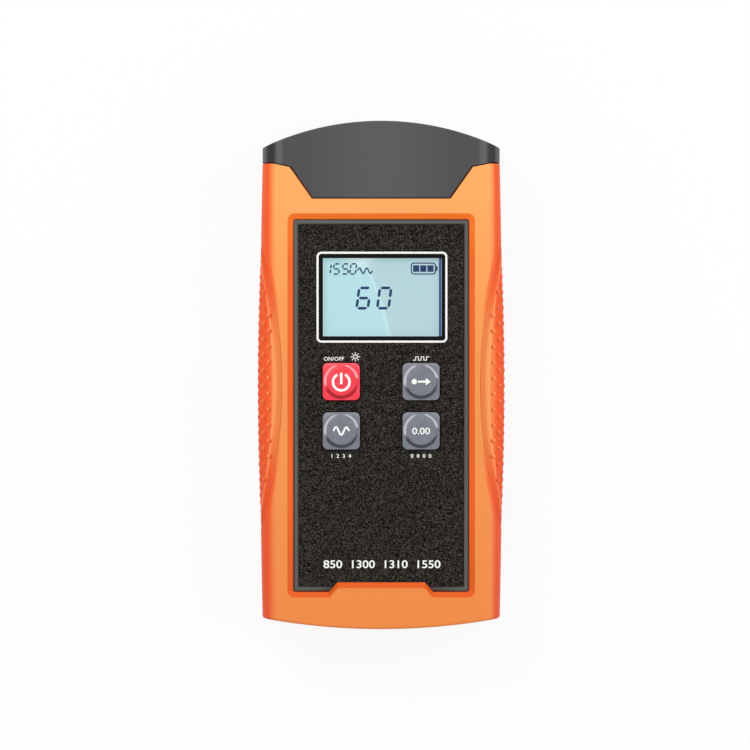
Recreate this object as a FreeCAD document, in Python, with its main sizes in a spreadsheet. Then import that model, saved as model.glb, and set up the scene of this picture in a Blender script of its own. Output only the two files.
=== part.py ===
import FreeCAD, Part
import math
import os

import Sketcher
from FreeCAD import Placement, Rotation, Vector

# Hand-held optical power meter with a visual fault laser.
# It lies on its back: +Z is the normal of the display, +Y points to the dust cover and the fibre
# ports, +X is the right-hand side seen from the front.  The origin is the middle of its footprint.
# All lengths are millimetres, all angles degrees.

SIZES = {
    # overall form
    "case_length": 130.0,
    "end_arc_rise": 2.8,
    "side_bulge": 0.65,
    "parting_height": 14.0,
    "side_wall": 2.2,
    "end_wall": 2.2,
    "back_wall": 2.6,
    "side_edge_radius": 4.0,
    "end_edge_radius": 0.8,
    "seam_edge_radius": 0.5,
    "cavity_corner_radius": 2.0,
    # dust cover and its hinge
    "cover_length": 10.6,
    "cover_seam_gap": 0.3,
    "cover_arch_rise": 6.9,
    "cover_wall": 2.2,
    "cover_edge_radius": 5.0,
    "cover_end_radius": 0.45,
    "tongue_length": 9.1,
    "tongue_end_half_width": 17.5,
    "tongue_root_half_width": 23.2,
    "tongue_root_length": 1.0,
    "tongue_shoulder": 4.8,
    "tongue_gap": 0.25,
    "tongue_edge_radius": 0.3,
    "tongue_relief_angle": 5.5,
    "hinge_setback": 6.4,
    "hinge_height": 3.5,
    "lug_radius": 3.2,
    "lug_width": 2.6,
    "lug_root_overlap": 2.0,
    "lug_side_gap": 0.2,
    "lug_end_gap": 0.3,
    "lug_middle_x": 24.5,
    "hinge_block_wall": 1.2,
    "hinge_slot_length": 12.5,
    "hinge_sweep_gap": 0.27,
    "pin_radius": 1.0,
    "pin_running_gap": 0.05,
    "pin_inner_setback": 0.4,
    # soft side grips
    "grip_tip_half_width": 30.7,
    "grip_bulge": 1.0,
    "grip_leaf_depth": 5.4,
    "grip_half_length": 36.5,
    "grip_middle_below_seam": 57.1,
    "grip_thickness": 1.6,
    "grip_seat_depth": 0.9,
    "grip_run_out": 8.0,
    # batteries, their bay and door
    "battery_diameter": 14.5,
    "battery_length": 50.5,
    "battery_button_radius": 2.75,
    "battery_button_length": 1.0,
    "battery_gap": 0.3,
    "bay_wall": 1.0,
    "bay_roof": 1.0,
    "bay_roof_gap": 0.2,
    "bay_end_margin": 7.2,
    "contact_room": 2.0,
    "contact_bow": 1.6,
    "contact_thickness": 0.4,
    "contact_half_width": 5.0,
    "contact_height": 10.0,
    "door_thickness": 2.0,
    "door_half_width": 22.0,
    "door_rail_width": 1.1,
    "door_rail_thickness": 1.0,
    "door_gap": 0.15,
    "door_overlap": 1.4,
    "door_grip_ribs": 5.0,
    "door_grip_pitch": 2.2,
    "door_grip_depth": 0.5,
    "door_grip_width": 1.1,
    "door_grip_half_length": 8.0,
    "door_grip_setback": 6.0,
    # case screws and their bosses
    "screw_radius": 1.1,
    "screw_hole_gap": 0.15,
    "screw_head_radius": 1.9,
    "screw_head_height": 1.6,
    "screw_head_depth": 4.5,
    "screw_head_gap": 0.1,
    "screw_reach": 7.0,
    "screw_recess_reach": 1.1,
    "screw_recess_half_width": 0.28,
    "screw_recess_depth": 0.9,
    "front_boss_radius": 2.4,
    "rear_boss_radius": 3.0,
    "boss_bay_gap": 0.15,
    "boss_wall_merge": 0.1,
    "upper_screw_setback": 18.1,
    "lower_screw_margin": 8.0,
    # circuit board
    "board_thickness": 1.6,
    "board_side_gap": 0.4,
    "board_top_setback": 16.1,
    "board_bottom_margin": 9.0,
    "board_screw_radius": 1.0,
    "board_screw_head_radius": 1.7,
    "board_screw_head_height": 0.9,
    "board_screw_inset": 2.3,
    "board_post_radius": 1.8,
    "board_screw_reach": 2.6,
    # front panel: recess, frame, film, window
    "key_room": 3.6,
    "panel_wall": 1.8,
    "frame_thickness": 1.6,
    "recess_depth": 1.4,
    "recess_slope": 1.6,
    "recess_corner_radius": 1.9,
    "frame_half_width": 22.45,
    "frame_corner_radius": 0.6,
    "frame_gap": 0.05,
    "frame_top_setback": 14.6,
    "frame_bottom_margin": 9.6,
    "frame_notch_rise": 2.4,
    "frame_notch_half_width": 11.2,
    "frame_notch_flare": 2.1,
    "film_border": 1.4,
    "film_thickness": 0.35,
    "film_seat_depth": 0.5,
    "film_corner_radius": 0.5,
    "film_gap": 0.05,
    # display
    "display_offset": 0.2,
    "display_below_frame_top": 19.9,
    "window_half_width": 16.2,
    "window_half_height": 11.1,
    "window_corner_radius": 0.9,
    "window_gap": 0.05,
    "window_ledge": 0.8,
    "window_ledge_thickness": 0.4,
    "glass_half_width": 16.9,
    "glass_half_height": 12.6,
    "glass_thickness": 2.3,
    "glass_gap": 0.3,
    "backlight_half_width": 18.6,
    "backlight_half_height": 13.4,
    # keys, silicone mat and switches
    "key_half_width": 4.75,
    "key_corner_radius": 1.3,
    "key_gap": 0.2,
    "key_skirt_height": 0.7,
    "key_crown_height": 1.2,
    "key_crown_radius": 4.5,
    "key_flange_width": 0.9,
    "key_flange_thickness": 0.7,
    "key_flange_gap": 0.3,
    "key_spread": 10.2,
    "key_row_below_frame_top": 41.5,
    "key_row_pitch": 12.6,
    "mat_thickness": 0.5,
    "mat_margin": 6.2,
    "mat_dome_radius": 3.4,
    "mat_dome_height": 1.0,
    "mat_skin": 0.5,
    "switch_radius": 2.4,
    "switch_height": 0.4,
    # fibre ports
    "port_spread": 11.0,
    "port_board_gap": 0.7,
    "plate_half_width": 18.7,
    "plate_half_height": 7.2,
    "plate_corner_radius": 1.5,
    "plate_flange": 1.6,
    "plate_flange_thickness": 1.5,
    "plate_gap": 0.2,
    "ferrule_bore_radius": 1.26,
    "ferrule_bore_depth": 8.0,
    "snout_radius": 3.5,
    "snout_length": 3.5,
    "snout_bore_radius": 2.5,
    "snout_gap": 0.1,
    "port_flange_radius": 5.5,
    "port_flange_thickness": 2.0,
    "port_barrel_radius": 4.4,
    "port_barrel_length": 5.4,
    "detector_radius": 2.7,
    "detector_length": 4.0,
    "detector_rim_radius": 3.4,
    "detector_rim_thickness": 0.7,
    "detector_gap": 0.05,
    "adapter_radius": 4.6,
    "adapter_face_thickness": 2.4,
    "adapter_seat_gap": 0.2,
    "adapter_tube_radius": 2.35,
    "laser_collar_radius": 4.1,
    "laser_collar_length": 4.3,
    "laser_barrel_radius": 3.4,
    "laser_barrel_length": 4.6,
    "laser_nut_radius": 5.2,
    "laser_nut_thickness": 2.0,
    "laser_module_radius": 3.3,
    "laser_module_length": 16.0,
}


class Size:
    """A length with its value now and the spreadsheet formula that drives it."""

    def __init__(self, value, formula):
        self.value = float(value)
        self.formula = formula

    @staticmethod
    def of(number):
        """Wrap a plain number, leave a Size as it is."""
        return number if isinstance(number, Size) else Size(number, f"({float(number)!r})")

    def combine(self, other, sign, value):
        """Return the Size of self SIGN other, with its value."""
        return Size(value, f"({self.formula} {sign} {Size.of(other).formula})")

    def __add__(self, other):
        return self.combine(other, "+", self.value + Size.of(other).value)

    def __sub__(self, other):
        return self.combine(other, "-", self.value - Size.of(other).value)

    def __mul__(self, other):
        return self.combine(other, "*", self.value * Size.of(other).value)

    def __truediv__(self, other):
        return self.combine(other, "/", self.value / Size.of(other).value)

    def __radd__(self, other):
        return Size.of(other) + self

    def __rsub__(self, other):
        return Size.of(other) - self

    def __rmul__(self, other):
        return Size.of(other) * self

    def __neg__(self):
        return Size.of(0) - self

    def root(self):
        """Square root."""
        return Size(math.sqrt(self.value), f"sqrt({self.formula})")


def bind(thing, path, size):
    """Set a property, and tie it to the spreadsheet where a Size drives it."""
    size = Size.of(size)
    if "." not in path:
        setattr(thing, path, size.value)
    thing.setExpression(path, size.formula)


def arc_radius(half_chord, rise):
    """Radius of the arc with this half chord and rise."""
    return (half_chord * half_chord + rise * rise) / (2 * rise)


def arc_drop(radius, offset):
    """How far an arc has fallen from its crown at this offset from its middle."""
    return radius - (radius * radius - offset * offset).root()


class Bend:
    """Marks the path segment that follows a point as an arc: left is counter-clockwise."""

    def __init__(self, radius, left=True):
        self.radius = Size.of(radius)
        self.left = left


def mirrored(path):
    """The same closed path on the other side of the Y axis."""
    return [(-point[0], *point[1:2], *[Bend(b.radius, not b.left) for b in point[2:]]) for point in path]


def rounded_box(x_low, x_high, y_low, y_high, radius):
    """Closed path of a rectangle with round corners, counter-clockwise."""
    corner = Bend(radius)
    return [
        (x_low + radius, y_low), (x_high - radius, y_low, corner),
        (x_high, y_low + radius), (x_high, y_high - radius, corner),
        (x_high - radius, y_high), (x_low + radius, y_high, corner),
        (x_low, y_high - radius), (x_low, y_low + radius, corner),
    ]


def box(x_low, x_high, y_low, y_high):
    """Closed path of a plain rectangle, counter-clockwise."""
    return [(x_low, y_low), (x_high, y_low), (x_high, y_high), (x_low, y_high)]


class Drawing:
    """One Sketcher sketch on an origin plane of its own body, driven by the spreadsheet."""

    def __init__(self, body, name, plane, offset=0, tilt=0, along=0):
        self.sketch = body.newObject("Sketcher::SketchObject", f"{body.Name}_{name}")
        support = next(item for item in body.Origin.OriginFeatures if item.Role == plane)
        self.sketch.AttachmentSupport = [(support, "")]
        self.sketch.MapMode = "FlatFace"
        offset, tilt, along = Size.of(offset), Size.of(tilt), Size.of(along)
        self.sketch.AttachmentOffset = Placement(
            Vector(0, along.value, offset.value), Rotation(Vector(1, 0, 0), tilt.value))
        self.sketch.setExpression("AttachmentOffset.Base.y", along.formula)
        self.sketch.setExpression("AttachmentOffset.Base.z", offset.formula)
        if tilt.value:
            self.sketch.setExpression("AttachmentOffset.Rotation.Angle", tilt.formula)

    def fix(self, kind, *reference, size):
        """Add one dimension that a spreadsheet formula drives."""
        number = self.sketch.addConstraint(Sketcher.Constraint(kind, *reference, size.value))
        self.sketch.setExpression(f"Constraints[{number}]", size.formula)

    def fix_point(self, geometry, end, x, y):
        """Hold one end of a curve at X, Y from the origin."""
        self.fix("DistanceX", -1, 1, geometry, end, size=Size.of(x))
        self.fix("DistanceY", -1, 1, geometry, end, size=Size.of(y))

    def outline(self, path):
        """Draw a closed path: points (x, y) or (x, y, Bend) with an arc to the next point."""
        ends = []
        for here, there in zip(path, path[1:] + path[:1]):
            start = Vector(Size.of(here[0]).value, Size.of(here[1]).value, 0)
            finish = Vector(Size.of(there[0]).value, Size.of(there[1]).value, 0)
            if len(here) == 2:
                number = self.sketch.addGeometry(Part.LineSegment(start, finish))
                ends.append((number, 1, 2))
                continue
            bend = here[2]
            first, last = (start, finish) if bend.left else (finish, start)
            chord = last - first
            inward = Vector(-chord.y, chord.x, 0).normalize()
            depth = math.sqrt(max(bend.radius.value ** 2 - (chord.Length / 2) ** 2, 0))
            centre = (first + last) * 0.5 + inward * depth
            angles = [math.atan2(p.y - centre.y, p.x - centre.x) for p in (first, last)]
            circle = Part.Circle(centre, Vector(0, 0, 1), bend.radius.value)
            number = self.sketch.addGeometry(Part.ArcOfCircle(circle, *angles))
            ends.append((number, 1, 2) if bend.left else (number, 2, 1))
        for (before, _, finish), (after, start, _) in zip(ends, ends[1:] + ends[:1]):
            self.sketch.addConstraint(Sketcher.Constraint("Coincident", before, finish, after, start))
        for (number, start, _), point in zip(ends, path):
            self.fix_point(number, start, *point[:2])
            if len(point) == 3:
                self.fix("Radius", number, size=point[2].radius)
        return self

    def circle(self, x, y, radius):
        """Draw a circle."""
        centre = Vector(Size.of(x).value, Size.of(y).value, 0)
        radius = Size.of(radius)
        number = self.sketch.addGeometry(Part.Circle(centre, Vector(0, 0, 1), radius.value))
        self.fix_point(number, 3, x, y)
        self.fix("Radius", number, size=radius)
        return self


class Piece:
    """One moulded, turned, cut or pressed piece: a PartDesign body and its features."""

    def __init__(self, label):
        self.body = doc.addObject("PartDesign::Body", label)
        self.body.Label = label
        pieces.append(self.body)

    def place(self, x=0, y=0, z=0):
        """Move the whole piece to its place in the meter."""
        spot = [Size.of(value) for value in (x, y, z)]
        self.body.Placement = Placement(Vector(*[value.value for value in spot]), Rotation())
        for axis, value in zip("xyz", spot):
            self.body.setExpression(f"Placement.Base.{axis}", value.formula)
        return self

    def draw(self, name, plane="XY_Plane", offset=0, tilt=0, along=0):
        """Start a sketch on one of the body's own origin planes."""
        return Drawing(self.body, name, plane, offset, tilt, along)

    def feature(self, kind, drawing):
        """Add a feature that takes a sketch as its profile."""
        item = self.body.newObject(f"PartDesign::{kind}", f"{drawing.sketch.Name}_{kind.lower()}")
        item.Profile = drawing.sketch
        drawing.sketch.Visibility = False
        return item

    def pad(self, drawing, length, down=False):
        """Raise a sketch along its normal, or against it."""
        item = self.feature("Pad", drawing)
        item.Reversed = down
        bind(item, "Length", length)
        doc.recompute()
        return item

    def pocket(self, drawing, depth, up=False, both=False):
        """Cut a sketch against its normal, along it, or to both sides, and see that it cuts."""
        before = self.volume()
        item = self.feature("Pocket", drawing)
        item.Reversed = up
        if both:
            item.SideType = "Symmetric"
        bind(item, "Length", depth)
        doc.recompute()
        if not self.volume() < before:
            raise RuntimeError(f"{item.Name} cuts nothing")
        return item

    def revolve(self, drawing):
        """Turn a sketch a full circle about its own vertical axis."""
        item = self.feature("Revolution", drawing)
        item.ReferenceAxis = (drawing.sketch, ["V_Axis"])
        item.Angle = 360
        doc.recompute()
        return item

    def volume(self):
        """Volume of the piece as it stands."""
        doc.recompute()
        return self.body.Shape.Volume

    def round(self, radius, chosen, kind="Fillet"):
        """Fillet or chamfer the edges that a test chooses."""
        doc.recompute()
        tip = self.body.Tip
        names = [f"Edge{n}" for n, edge in enumerate(tip.Shape.Edges, start=1) if chosen(edge)]
        if not names:
            raise RuntimeError(f"{self.body.Label}: no edge to round")
        item = self.body.newObject(f"PartDesign::{kind}", f"{self.body.Name}_{kind.lower()}")
        item.Base = (tip, names)
        bind(item, "Radius" if kind == "Fillet" else "Size", radius)
        doc.recompute()
        return item


def points_on(edge):
    """Five points along an edge, its ends included."""
    first, last = edge.ParameterRange
    return [edge.valueAt(first + (last - first) * step / 4) for step in range(5)]


def all_at(edge, axis, level, tolerance=1e-4):
    """True where the whole edge lies at one level of an axis."""
    return all(abs(getattr(point, axis) - Size.of(level).value) < tolerance for point in points_on(edge))


# The document, its spreadsheet and the driving sizes --------------------------------------------

doc = FreeCAD.newDocument("OpticalPowerMeter")
pieces = []
sheet = doc.addObject("Spreadsheet::Sheet", "Sizes")
for row, (name, value) in enumerate(SIZES.items(), start=1):
    sheet.set(f"A{row}", name)
    sheet.set(f"B{row}", str(value))
    sheet.setAlias(f"B{row}", name)
doc.recompute()


class Driving:
    """Reads each driving size from the spreadsheet by its alias."""

    def __getattr__(self, alias):
        return Size(float(sheet.get(alias)), f"Sizes.{alias}")


d = Driving()

# Heights, from the back face up -----------------------------------------------------------------

battery_radius = d.battery_diameter / 2
battery_height = d.door_thickness + d.battery_gap + battery_radius
bay_top = battery_height + battery_radius + d.bay_roof_gap
board_bottom = bay_top + d.bay_roof
board_top = board_bottom + d.board_thickness
panel_under = board_top + d.key_room
panel_seat = panel_under + d.panel_wall
frame_top = panel_seat + d.frame_thickness
face = frame_top + d.recess_depth
film_seat = frame_top - d.film_seat_depth
film_top = film_seat + d.film_thickness

# Lengths, along Y -------------------------------------------------------------------------------

half_length = d.case_length / 2
seam = half_length - d.cover_length
body_end = seam - d.cover_seam_gap
end_corner = d.end_arc_rise - half_length
inner_top = body_end - d.end_wall
frame_upper = seam - d.frame_top_setback
frame_lower = d.frame_bottom_margin - half_length
hinge_y = seam - d.hinge_setback
bay_lower = d.bay_end_margin - half_length
bay_upper = bay_lower + d.battery_length + 2 * d.contact_room
grip_middle = seam - d.grip_middle_below_seam
display_y = frame_upper - d.display_below_frame_top
key_row_y = frame_upper - d.key_row_below_frame_top
upper_screw_y = body_end - d.upper_screw_setback
lower_screw_y = d.lower_screw_margin - half_length
board_upper = body_end - d.board_top_setback
board_lower = d.board_bottom_margin - half_length
port_y = body_end

# Widths, from the middle out: the case is as wide as three cells, their bay and the screw bosses -

bay_half_width = 1.5 * d.battery_diameter + 2 * d.battery_gap
bay_outer = bay_half_width + d.bay_wall
screw_x = bay_outer + d.boss_bay_gap + d.front_boss_radius
inner_half_width = screw_x + d.front_boss_radius - d.boss_wall_merge
end_half_width = inner_half_width + d.side_wall
end_radius = arc_radius(end_half_width, d.end_arc_rise)
side_radius = arc_radius((body_end - end_corner) / 2, d.side_bulge)
board_half_width = bay_outer - d.board_side_gap
port_height = board_bottom - d.port_board_gap - d.laser_module_radius


def case_outline():
    """Outline of both shells: bowed sides, an arched lower end and a straight upper end."""
    return [
        (-end_half_width, end_corner, Bend(end_radius)), (end_half_width, end_corner, Bend(side_radius)),
        (end_half_width, body_end), (-end_half_width, body_end, Bend(side_radius)),
    ]


def on_lower_end(edge):
    """True where an edge lies on the arched lower end face."""
    centre_y = end_radius.value - half_length.value
    return all(abs(math.hypot(p.x, p.y - centre_y) - end_radius.value) < 1e-3 for p in points_on(edge))


def is_long_side(edge, level):
    """True for the two long side edges at a level."""
    return all_at(edge, "z", level) and edge.Length > (body_end - end_corner).value * 0.9


def shell_blank(label, bottom, height, rounded_level):
    """Outer form of one shell, with its long side edges and its lower end rounded."""
    shell = Piece(label)
    shell.pad(shell.draw("outline", offset=bottom).outline(case_outline()), height)
    shell.round(d.side_edge_radius, lambda edge: is_long_side(edge, rounded_level))
    shell.round(d.end_edge_radius,
                lambda edge: on_lower_end(edge) and not all_at(edge, "z", d.parting_height))
    shell.round(d.seam_edge_radius,
                lambda edge: all_at(edge, "y", body_end) and not all_at(edge, "z", d.parting_height))
    return shell


def leaf_arc(reach):
    """Half length of the leaf where it is this far in from its tips' line."""
    radius = arc_radius(d.grip_half_length, d.grip_leaf_depth)
    return (radius * radius - (radius - d.grip_leaf_depth + reach) * (radius - d.grip_leaf_depth + reach)).root()


def cut_grip_seats(shell, outer_level, up):
    """Sink the two leaf-shaped seats of the side grips into a shell."""
    leaf_radius = arc_radius(d.grip_half_length, d.grip_leaf_depth)
    upper, lower = grip_middle + d.grip_half_length, grip_middle - d.grip_half_length
    outside = d.grip_tip_half_width + d.grip_run_out
    leaf = [(d.grip_tip_half_width, lower), (outside, lower), (outside, upper),
            (d.grip_tip_half_width, upper, Bend(leaf_radius))]
    seat_x = d.grip_tip_half_width - d.grip_seat_depth
    seat_half = leaf_arc(d.grip_seat_depth)
    side = [(seat_x, grip_middle - seat_half, Bend(leaf_radius)),
            (d.grip_tip_half_width, lower), (outside, lower), (outside, upper),
            (d.grip_tip_half_width, upper, Bend(leaf_radius)), (seat_x, grip_middle + seat_half)]
    for hand, turned in (("right", lambda path: path), ("left", mirrored)):
        face_seat = shell.draw(f"leaf_{hand}", offset=outer_level).outline(turned(leaf))
        shell.pocket(face_seat, d.grip_thickness, up=up)
        side_seat = shell.draw(f"side_{hand}", offset=d.parting_height).outline(turned(side))
        shell.pocket(side_seat, 2 * face, both=True)


def panel_outline(grow, corner):
    """Outline of the front panel, grown by a margin, with the raised notch at its lower edge."""
    x, top, bottom = d.frame_half_width + grow, frame_upper + grow, frame_lower - grow
    notch_y = frame_lower + d.frame_notch_rise - grow
    notch_in = d.frame_notch_half_width
    notch_out = d.frame_notch_half_width + d.frame_notch_flare
    turn = Bend(corner)
    return [
        (-x + corner, bottom), (-notch_out, bottom), (-notch_in, notch_y), (notch_in, notch_y),
        (notch_out, bottom), (x - corner, bottom, turn), (x, bottom + corner), (x, top - corner, turn),
        (x - corner, top), (corner - x, top, turn), (-x, top - corner), (-x, bottom + corner, turn),
    ]


def key_places():
    """Name and centre of each key: two rows of two."""
    lower_row = key_row_y - d.key_row_pitch
    return [("key_power", -d.key_spread, key_row_y), ("key_laser", d.key_spread, key_row_y),
            ("key_wavelength", -d.key_spread, lower_row), ("key_reference", d.key_spread, lower_row)]


def key_holes(drawing):
    """Draw the four key holes."""
    half, corner = d.key_half_width + d.key_gap, d.key_corner_radius + d.key_gap
    for _, x, y in key_places():
        drawing.outline(rounded_box(x - half, x + half, y - half, y + half, corner))
    return drawing


def display_box(half_width, half_height, corner):
    """Rounded rectangle about the middle of the display."""
    return rounded_box(d.display_offset - half_width, d.display_offset + half_width,
                       display_y - half_height, display_y + half_height, corner)


def screw_places():
    """Centres of the four case screws."""
    return [(x, y) for y in (upper_screw_y, lower_screw_y) for x in (-screw_x, screw_x)]


def board_screw_places():
    """Centres of the two screws at the upper corners of the board."""
    x, y = board_half_width - d.board_screw_inset, board_upper - d.board_screw_inset
    return [(-x, y), (x, y)]


def tongue_path(gap, start=0):
    """Trapezoid of the cover's tongue, grown by a gap at its free edges, with Y counted from a start."""
    root = seam - start
    end_y = root - d.tongue_length - gap
    end_x, root_x = d.tongue_end_half_width + gap, d.tongue_root_half_width + gap
    root_y, shoulder_x = root - d.tongue_root_length - gap, d.tongue_root_half_width + d.tongue_shoulder + gap
    return [(-end_x, end_y), (end_x, end_y), (root_x, root_y), (shoulder_x, root - gap),
            (shoulder_x, root + d.tongue_root_length), (-shoulder_x, root + d.tongue_root_length),
            (-shoulder_x, root - gap), (-root_x, root_y)]


def make_front_shell():
    """Front half of the case: sloped recess, panel seat, key holes, bosses and the tongue's recess."""
    shell = shell_blank("front_shell", d.parting_height, face - d.parting_height, face)
    cavity = rounded_box(-inner_half_width, inner_half_width, bay_lower - 1.5 * d.bay_wall, inner_top,
                         d.cavity_corner_radius)
    shell.pocket(shell.draw("cavity", offset=d.parting_height).outline(cavity),
                 panel_under - d.parting_height, up=True)
    bosses = shell.draw("bosses", offset=d.parting_height)
    for x, y in screw_places():
        bosses.circle(x, y, d.front_boss_radius)
    shell.pad(bosses, panel_under - d.parting_height)
    posts = shell.draw("posts", offset=board_top)
    for x, y in board_screw_places():
        posts.circle(x, y, d.board_post_radius)
    shell.pad(posts, panel_under - board_top)
    pilots = shell.draw("pilots", offset=d.parting_height)
    for x, y in screw_places():
        pilots.circle(x, y, d.screw_radius)
    shell.pocket(pilots, d.screw_reach, up=True)
    post_pilots = shell.draw("post_pilots", offset=board_top)
    for x, y in board_screw_places():
        post_pilots.circle(x, y, d.board_screw_radius)
    shell.pocket(post_pilots, d.board_screw_reach, up=True)
    slope = shell.body.newObject("PartDesign::SubtractiveLoft", "front_shell_slope")
    upper = shell.draw("slope_upper", offset=face).outline(
        panel_outline(d.recess_slope, d.recess_corner_radius))
    lower = shell.draw("slope_lower", offset=frame_top).outline(
        panel_outline(d.frame_gap, d.frame_corner_radius))
    slope.Profile = upper.sketch
    slope.Sections = [lower.sketch]
    slope.Ruled = True
    shell.pocket(shell.draw("frame_seat", offset=frame_top).outline(
        panel_outline(d.frame_gap, d.frame_corner_radius)), d.frame_thickness)
    openings = key_holes(shell.draw("openings", offset=panel_seat))
    openings.outline(display_box(d.glass_half_width + d.glass_gap, d.glass_half_height + d.glass_gap,
                                 d.window_corner_radius))
    shell.pocket(openings, d.panel_wall)
    cut_grip_seats(shell, face, up=False)
    cut_port_opening(shell, front=True)
    rest = d.cover_wall + d.tongue_gap
    shell.pocket(shell.draw("tongue_seat", offset=face).outline(tongue_path(d.tongue_gap)), rest)
    free_end = seam - d.tongue_length
    relief = shell.draw("tongue_relief", offset=face - rest, tilt=-d.tongue_relief_angle, along=free_end)
    shell.pocket(relief.outline(tongue_path(d.tongue_gap, free_end)), rest / 2, up=True)
    return shell


def cut_port_opening(shell, front):
    """Cut one half of the port plate's opening through the upper end wall."""
    half_x, half_z = d.plate_half_width + d.plate_gap, d.plate_half_height + d.plate_gap
    low, high = (d.parting_height, port_height + half_z) if front else (port_height - half_z, d.parting_height)
    opening = shell.draw("port_opening", plane="XZ_Plane", offset=-body_end).outline(
        box(-half_x, half_x, low, high))
    shell.pocket(opening, 2 * d.end_wall, both=True)


def make_rear_shell():
    """Back half of the case: battery bay, door rails, hinge blocks, bosses and screw recesses."""
    shell = shell_blank("rear_shell", 0, d.parting_height, 0)
    cavity = rounded_box(-inner_half_width, inner_half_width, bay_lower - 1.5 * d.bay_wall, inner_top,
                         d.cavity_corner_radius)
    shell.pocket(shell.draw("cavity", offset=d.parting_height).outline(cavity),
                 d.parting_height - d.back_wall)
    block_in = d.lug_middle_x - d.lug_width / 2 - d.lug_side_gap - d.hinge_block_wall
    slot_lower = body_end - d.hinge_slot_length
    blocks = shell.draw("hinge_blocks", offset=d.back_wall / 2)
    for sign in (-1, 1):
        inner, outer = sign * block_in, sign * (inner_half_width + d.side_wall / 2)
        blocks.outline(box(*(outer, inner) if sign < 0 else (inner, outer),
                           slot_lower - d.hinge_block_wall, inner_top + d.end_wall / 2))
    slot_top = d.hinge_height + d.lug_radius + d.lug_end_gap
    shell.pad(blocks, slot_top + d.hinge_block_wall - d.back_wall / 2)
    shell.pad(shell.draw("bay_block", offset=d.back_wall / 2).outline(
        box(-bay_outer, bay_outer, bay_lower - d.bay_wall, bay_upper + d.bay_wall)),
        board_bottom - d.back_wall / 2)
    bosses = shell.draw("bosses", offset=d.back_wall / 2)
    for x, y in screw_places():
        bosses.circle(x, y, d.rear_boss_radius)
    shell.pad(bosses, d.parting_height - d.back_wall / 2)
    rail_roof = d.door_thickness + d.door_gap
    shell.pocket(shell.draw("bay", offset=rail_roof).outline(
        box(-bay_half_width, bay_half_width, bay_lower, bay_upper)), bay_top - rail_roof, up=True)
    door_top = bay_upper + d.door_overlap + d.door_gap
    lip, groove = d.door_half_width + d.door_gap, d.door_half_width + d.door_rail_width + d.door_gap
    past_end = -half_length - d.end_arc_rise
    lip_depth = d.door_thickness - d.door_rail_thickness - d.door_gap
    shell.pocket(shell.draw("door_groove", offset=lip_depth).outline(
        box(-groove, groove, past_end, door_top)), rail_roof - lip_depth, up=True)
    shell.pocket(shell.draw("door_opening").outline(box(-lip, lip, past_end, door_top)), lip_depth, up=True)
    holes, heads = shell.draw("screw_holes"), shell.draw("screw_heads")
    for x, y in screw_places():
        holes.circle(x, y, d.screw_radius + d.screw_hole_gap)
        heads.circle(x, y, d.screw_head_radius + d.screw_head_gap)
    shell.pocket(holes, d.parting_height, up=True)
    shell.pocket(heads, d.screw_head_depth + d.screw_head_height, up=True)
    slots = shell.draw("hinge_slots")
    for sign in (-1, 1):
        middle, half = sign * d.lug_middle_x, d.lug_width / 2 + d.lug_side_gap
        slots.outline(box(middle - half, middle + half, slot_lower, body_end + d.end_wall))
    shell.pocket(slots, slot_top, up=True)
    for name, sign in (("right", 1), ("left", -1)):
        bore = shell.draw(f"pin_bore_{name}", plane="YZ_Plane", offset=sign * block_in)
        shell.pocket(bore.circle(hinge_y, d.hinge_height, d.pin_radius), half_length, up=sign > 0)
    cut_hinge_clearance(shell)
    cut_grip_seats(shell, 0, up=True)
    cut_port_opening(shell, front=False)
    return shell


def cut_hinge_clearance(shell):
    """Round the upper end of the back about the hinge, so that the cover's rim can swing past it."""
    rim = ((d.hinge_setback * d.hinge_setback)
           + (d.hinge_height - d.cover_wall) * (d.hinge_height - d.cover_wall)).root()
    reach = rim - d.hinge_sweep_gap
    low_y = hinge_y + (reach * reach - d.hinge_height * d.hinge_height).root()
    end_z = d.hinge_height - (reach * reach - (body_end - hinge_y) * (body_end - hinge_y)).root()
    corner = [(low_y, 0, Bend(reach)), (body_end, end_z), (body_end + d.end_wall, end_z),
              (body_end + d.end_wall, -d.end_wall), (low_y, -d.end_wall)]
    shell.pocket(shell.draw("hinge_clearance", plane="YZ_Plane").outline(corner), 4 * end_half_width, both=True)


def cut_side_rounds(cover):
    """Round the cover's straight sides, in front with its tongue and at the back."""
    past, side = d.cover_wall, end_half_width
    front, back = d.cover_edge_radius, d.side_edge_radius
    corners = [
        ("front", [(side, face - front, Bend(front)), (side - front, face), (side - front, face + past),
                   (side + past, face + past), (side + past, face - front)]),
        ("back", [(side - back, 0, Bend(back)), (side, back), (side + past, back), (side + past, -past),
                  (side - back, -past)])]
    for name, corner in corners:
        rounds = cover.draw(f"{name}_rounds", plane="XZ_Plane", offset=-seam)
        rounds.outline(corner).outline(mirrored(corner))
        cover.pocket(rounds, 4 * d.cover_length, both=True)


def on_arch(edge, arch):
    """True where an edge bounds the cover's arched end face."""
    centre_y = (half_length - arch).value
    return all(abs(math.hypot(p.x, p.y - centre_y) - arch.value) < 1e-3 for p in points_on(edge))


def is_tongue_edge(edge):
    """True for the tongue's free end and its two slanting sides, in front."""
    return all_at(edge, "z", face) and all(
        p.y < (seam - d.tongue_root_length).value + 1e-3 for p in points_on(edge))


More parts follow.
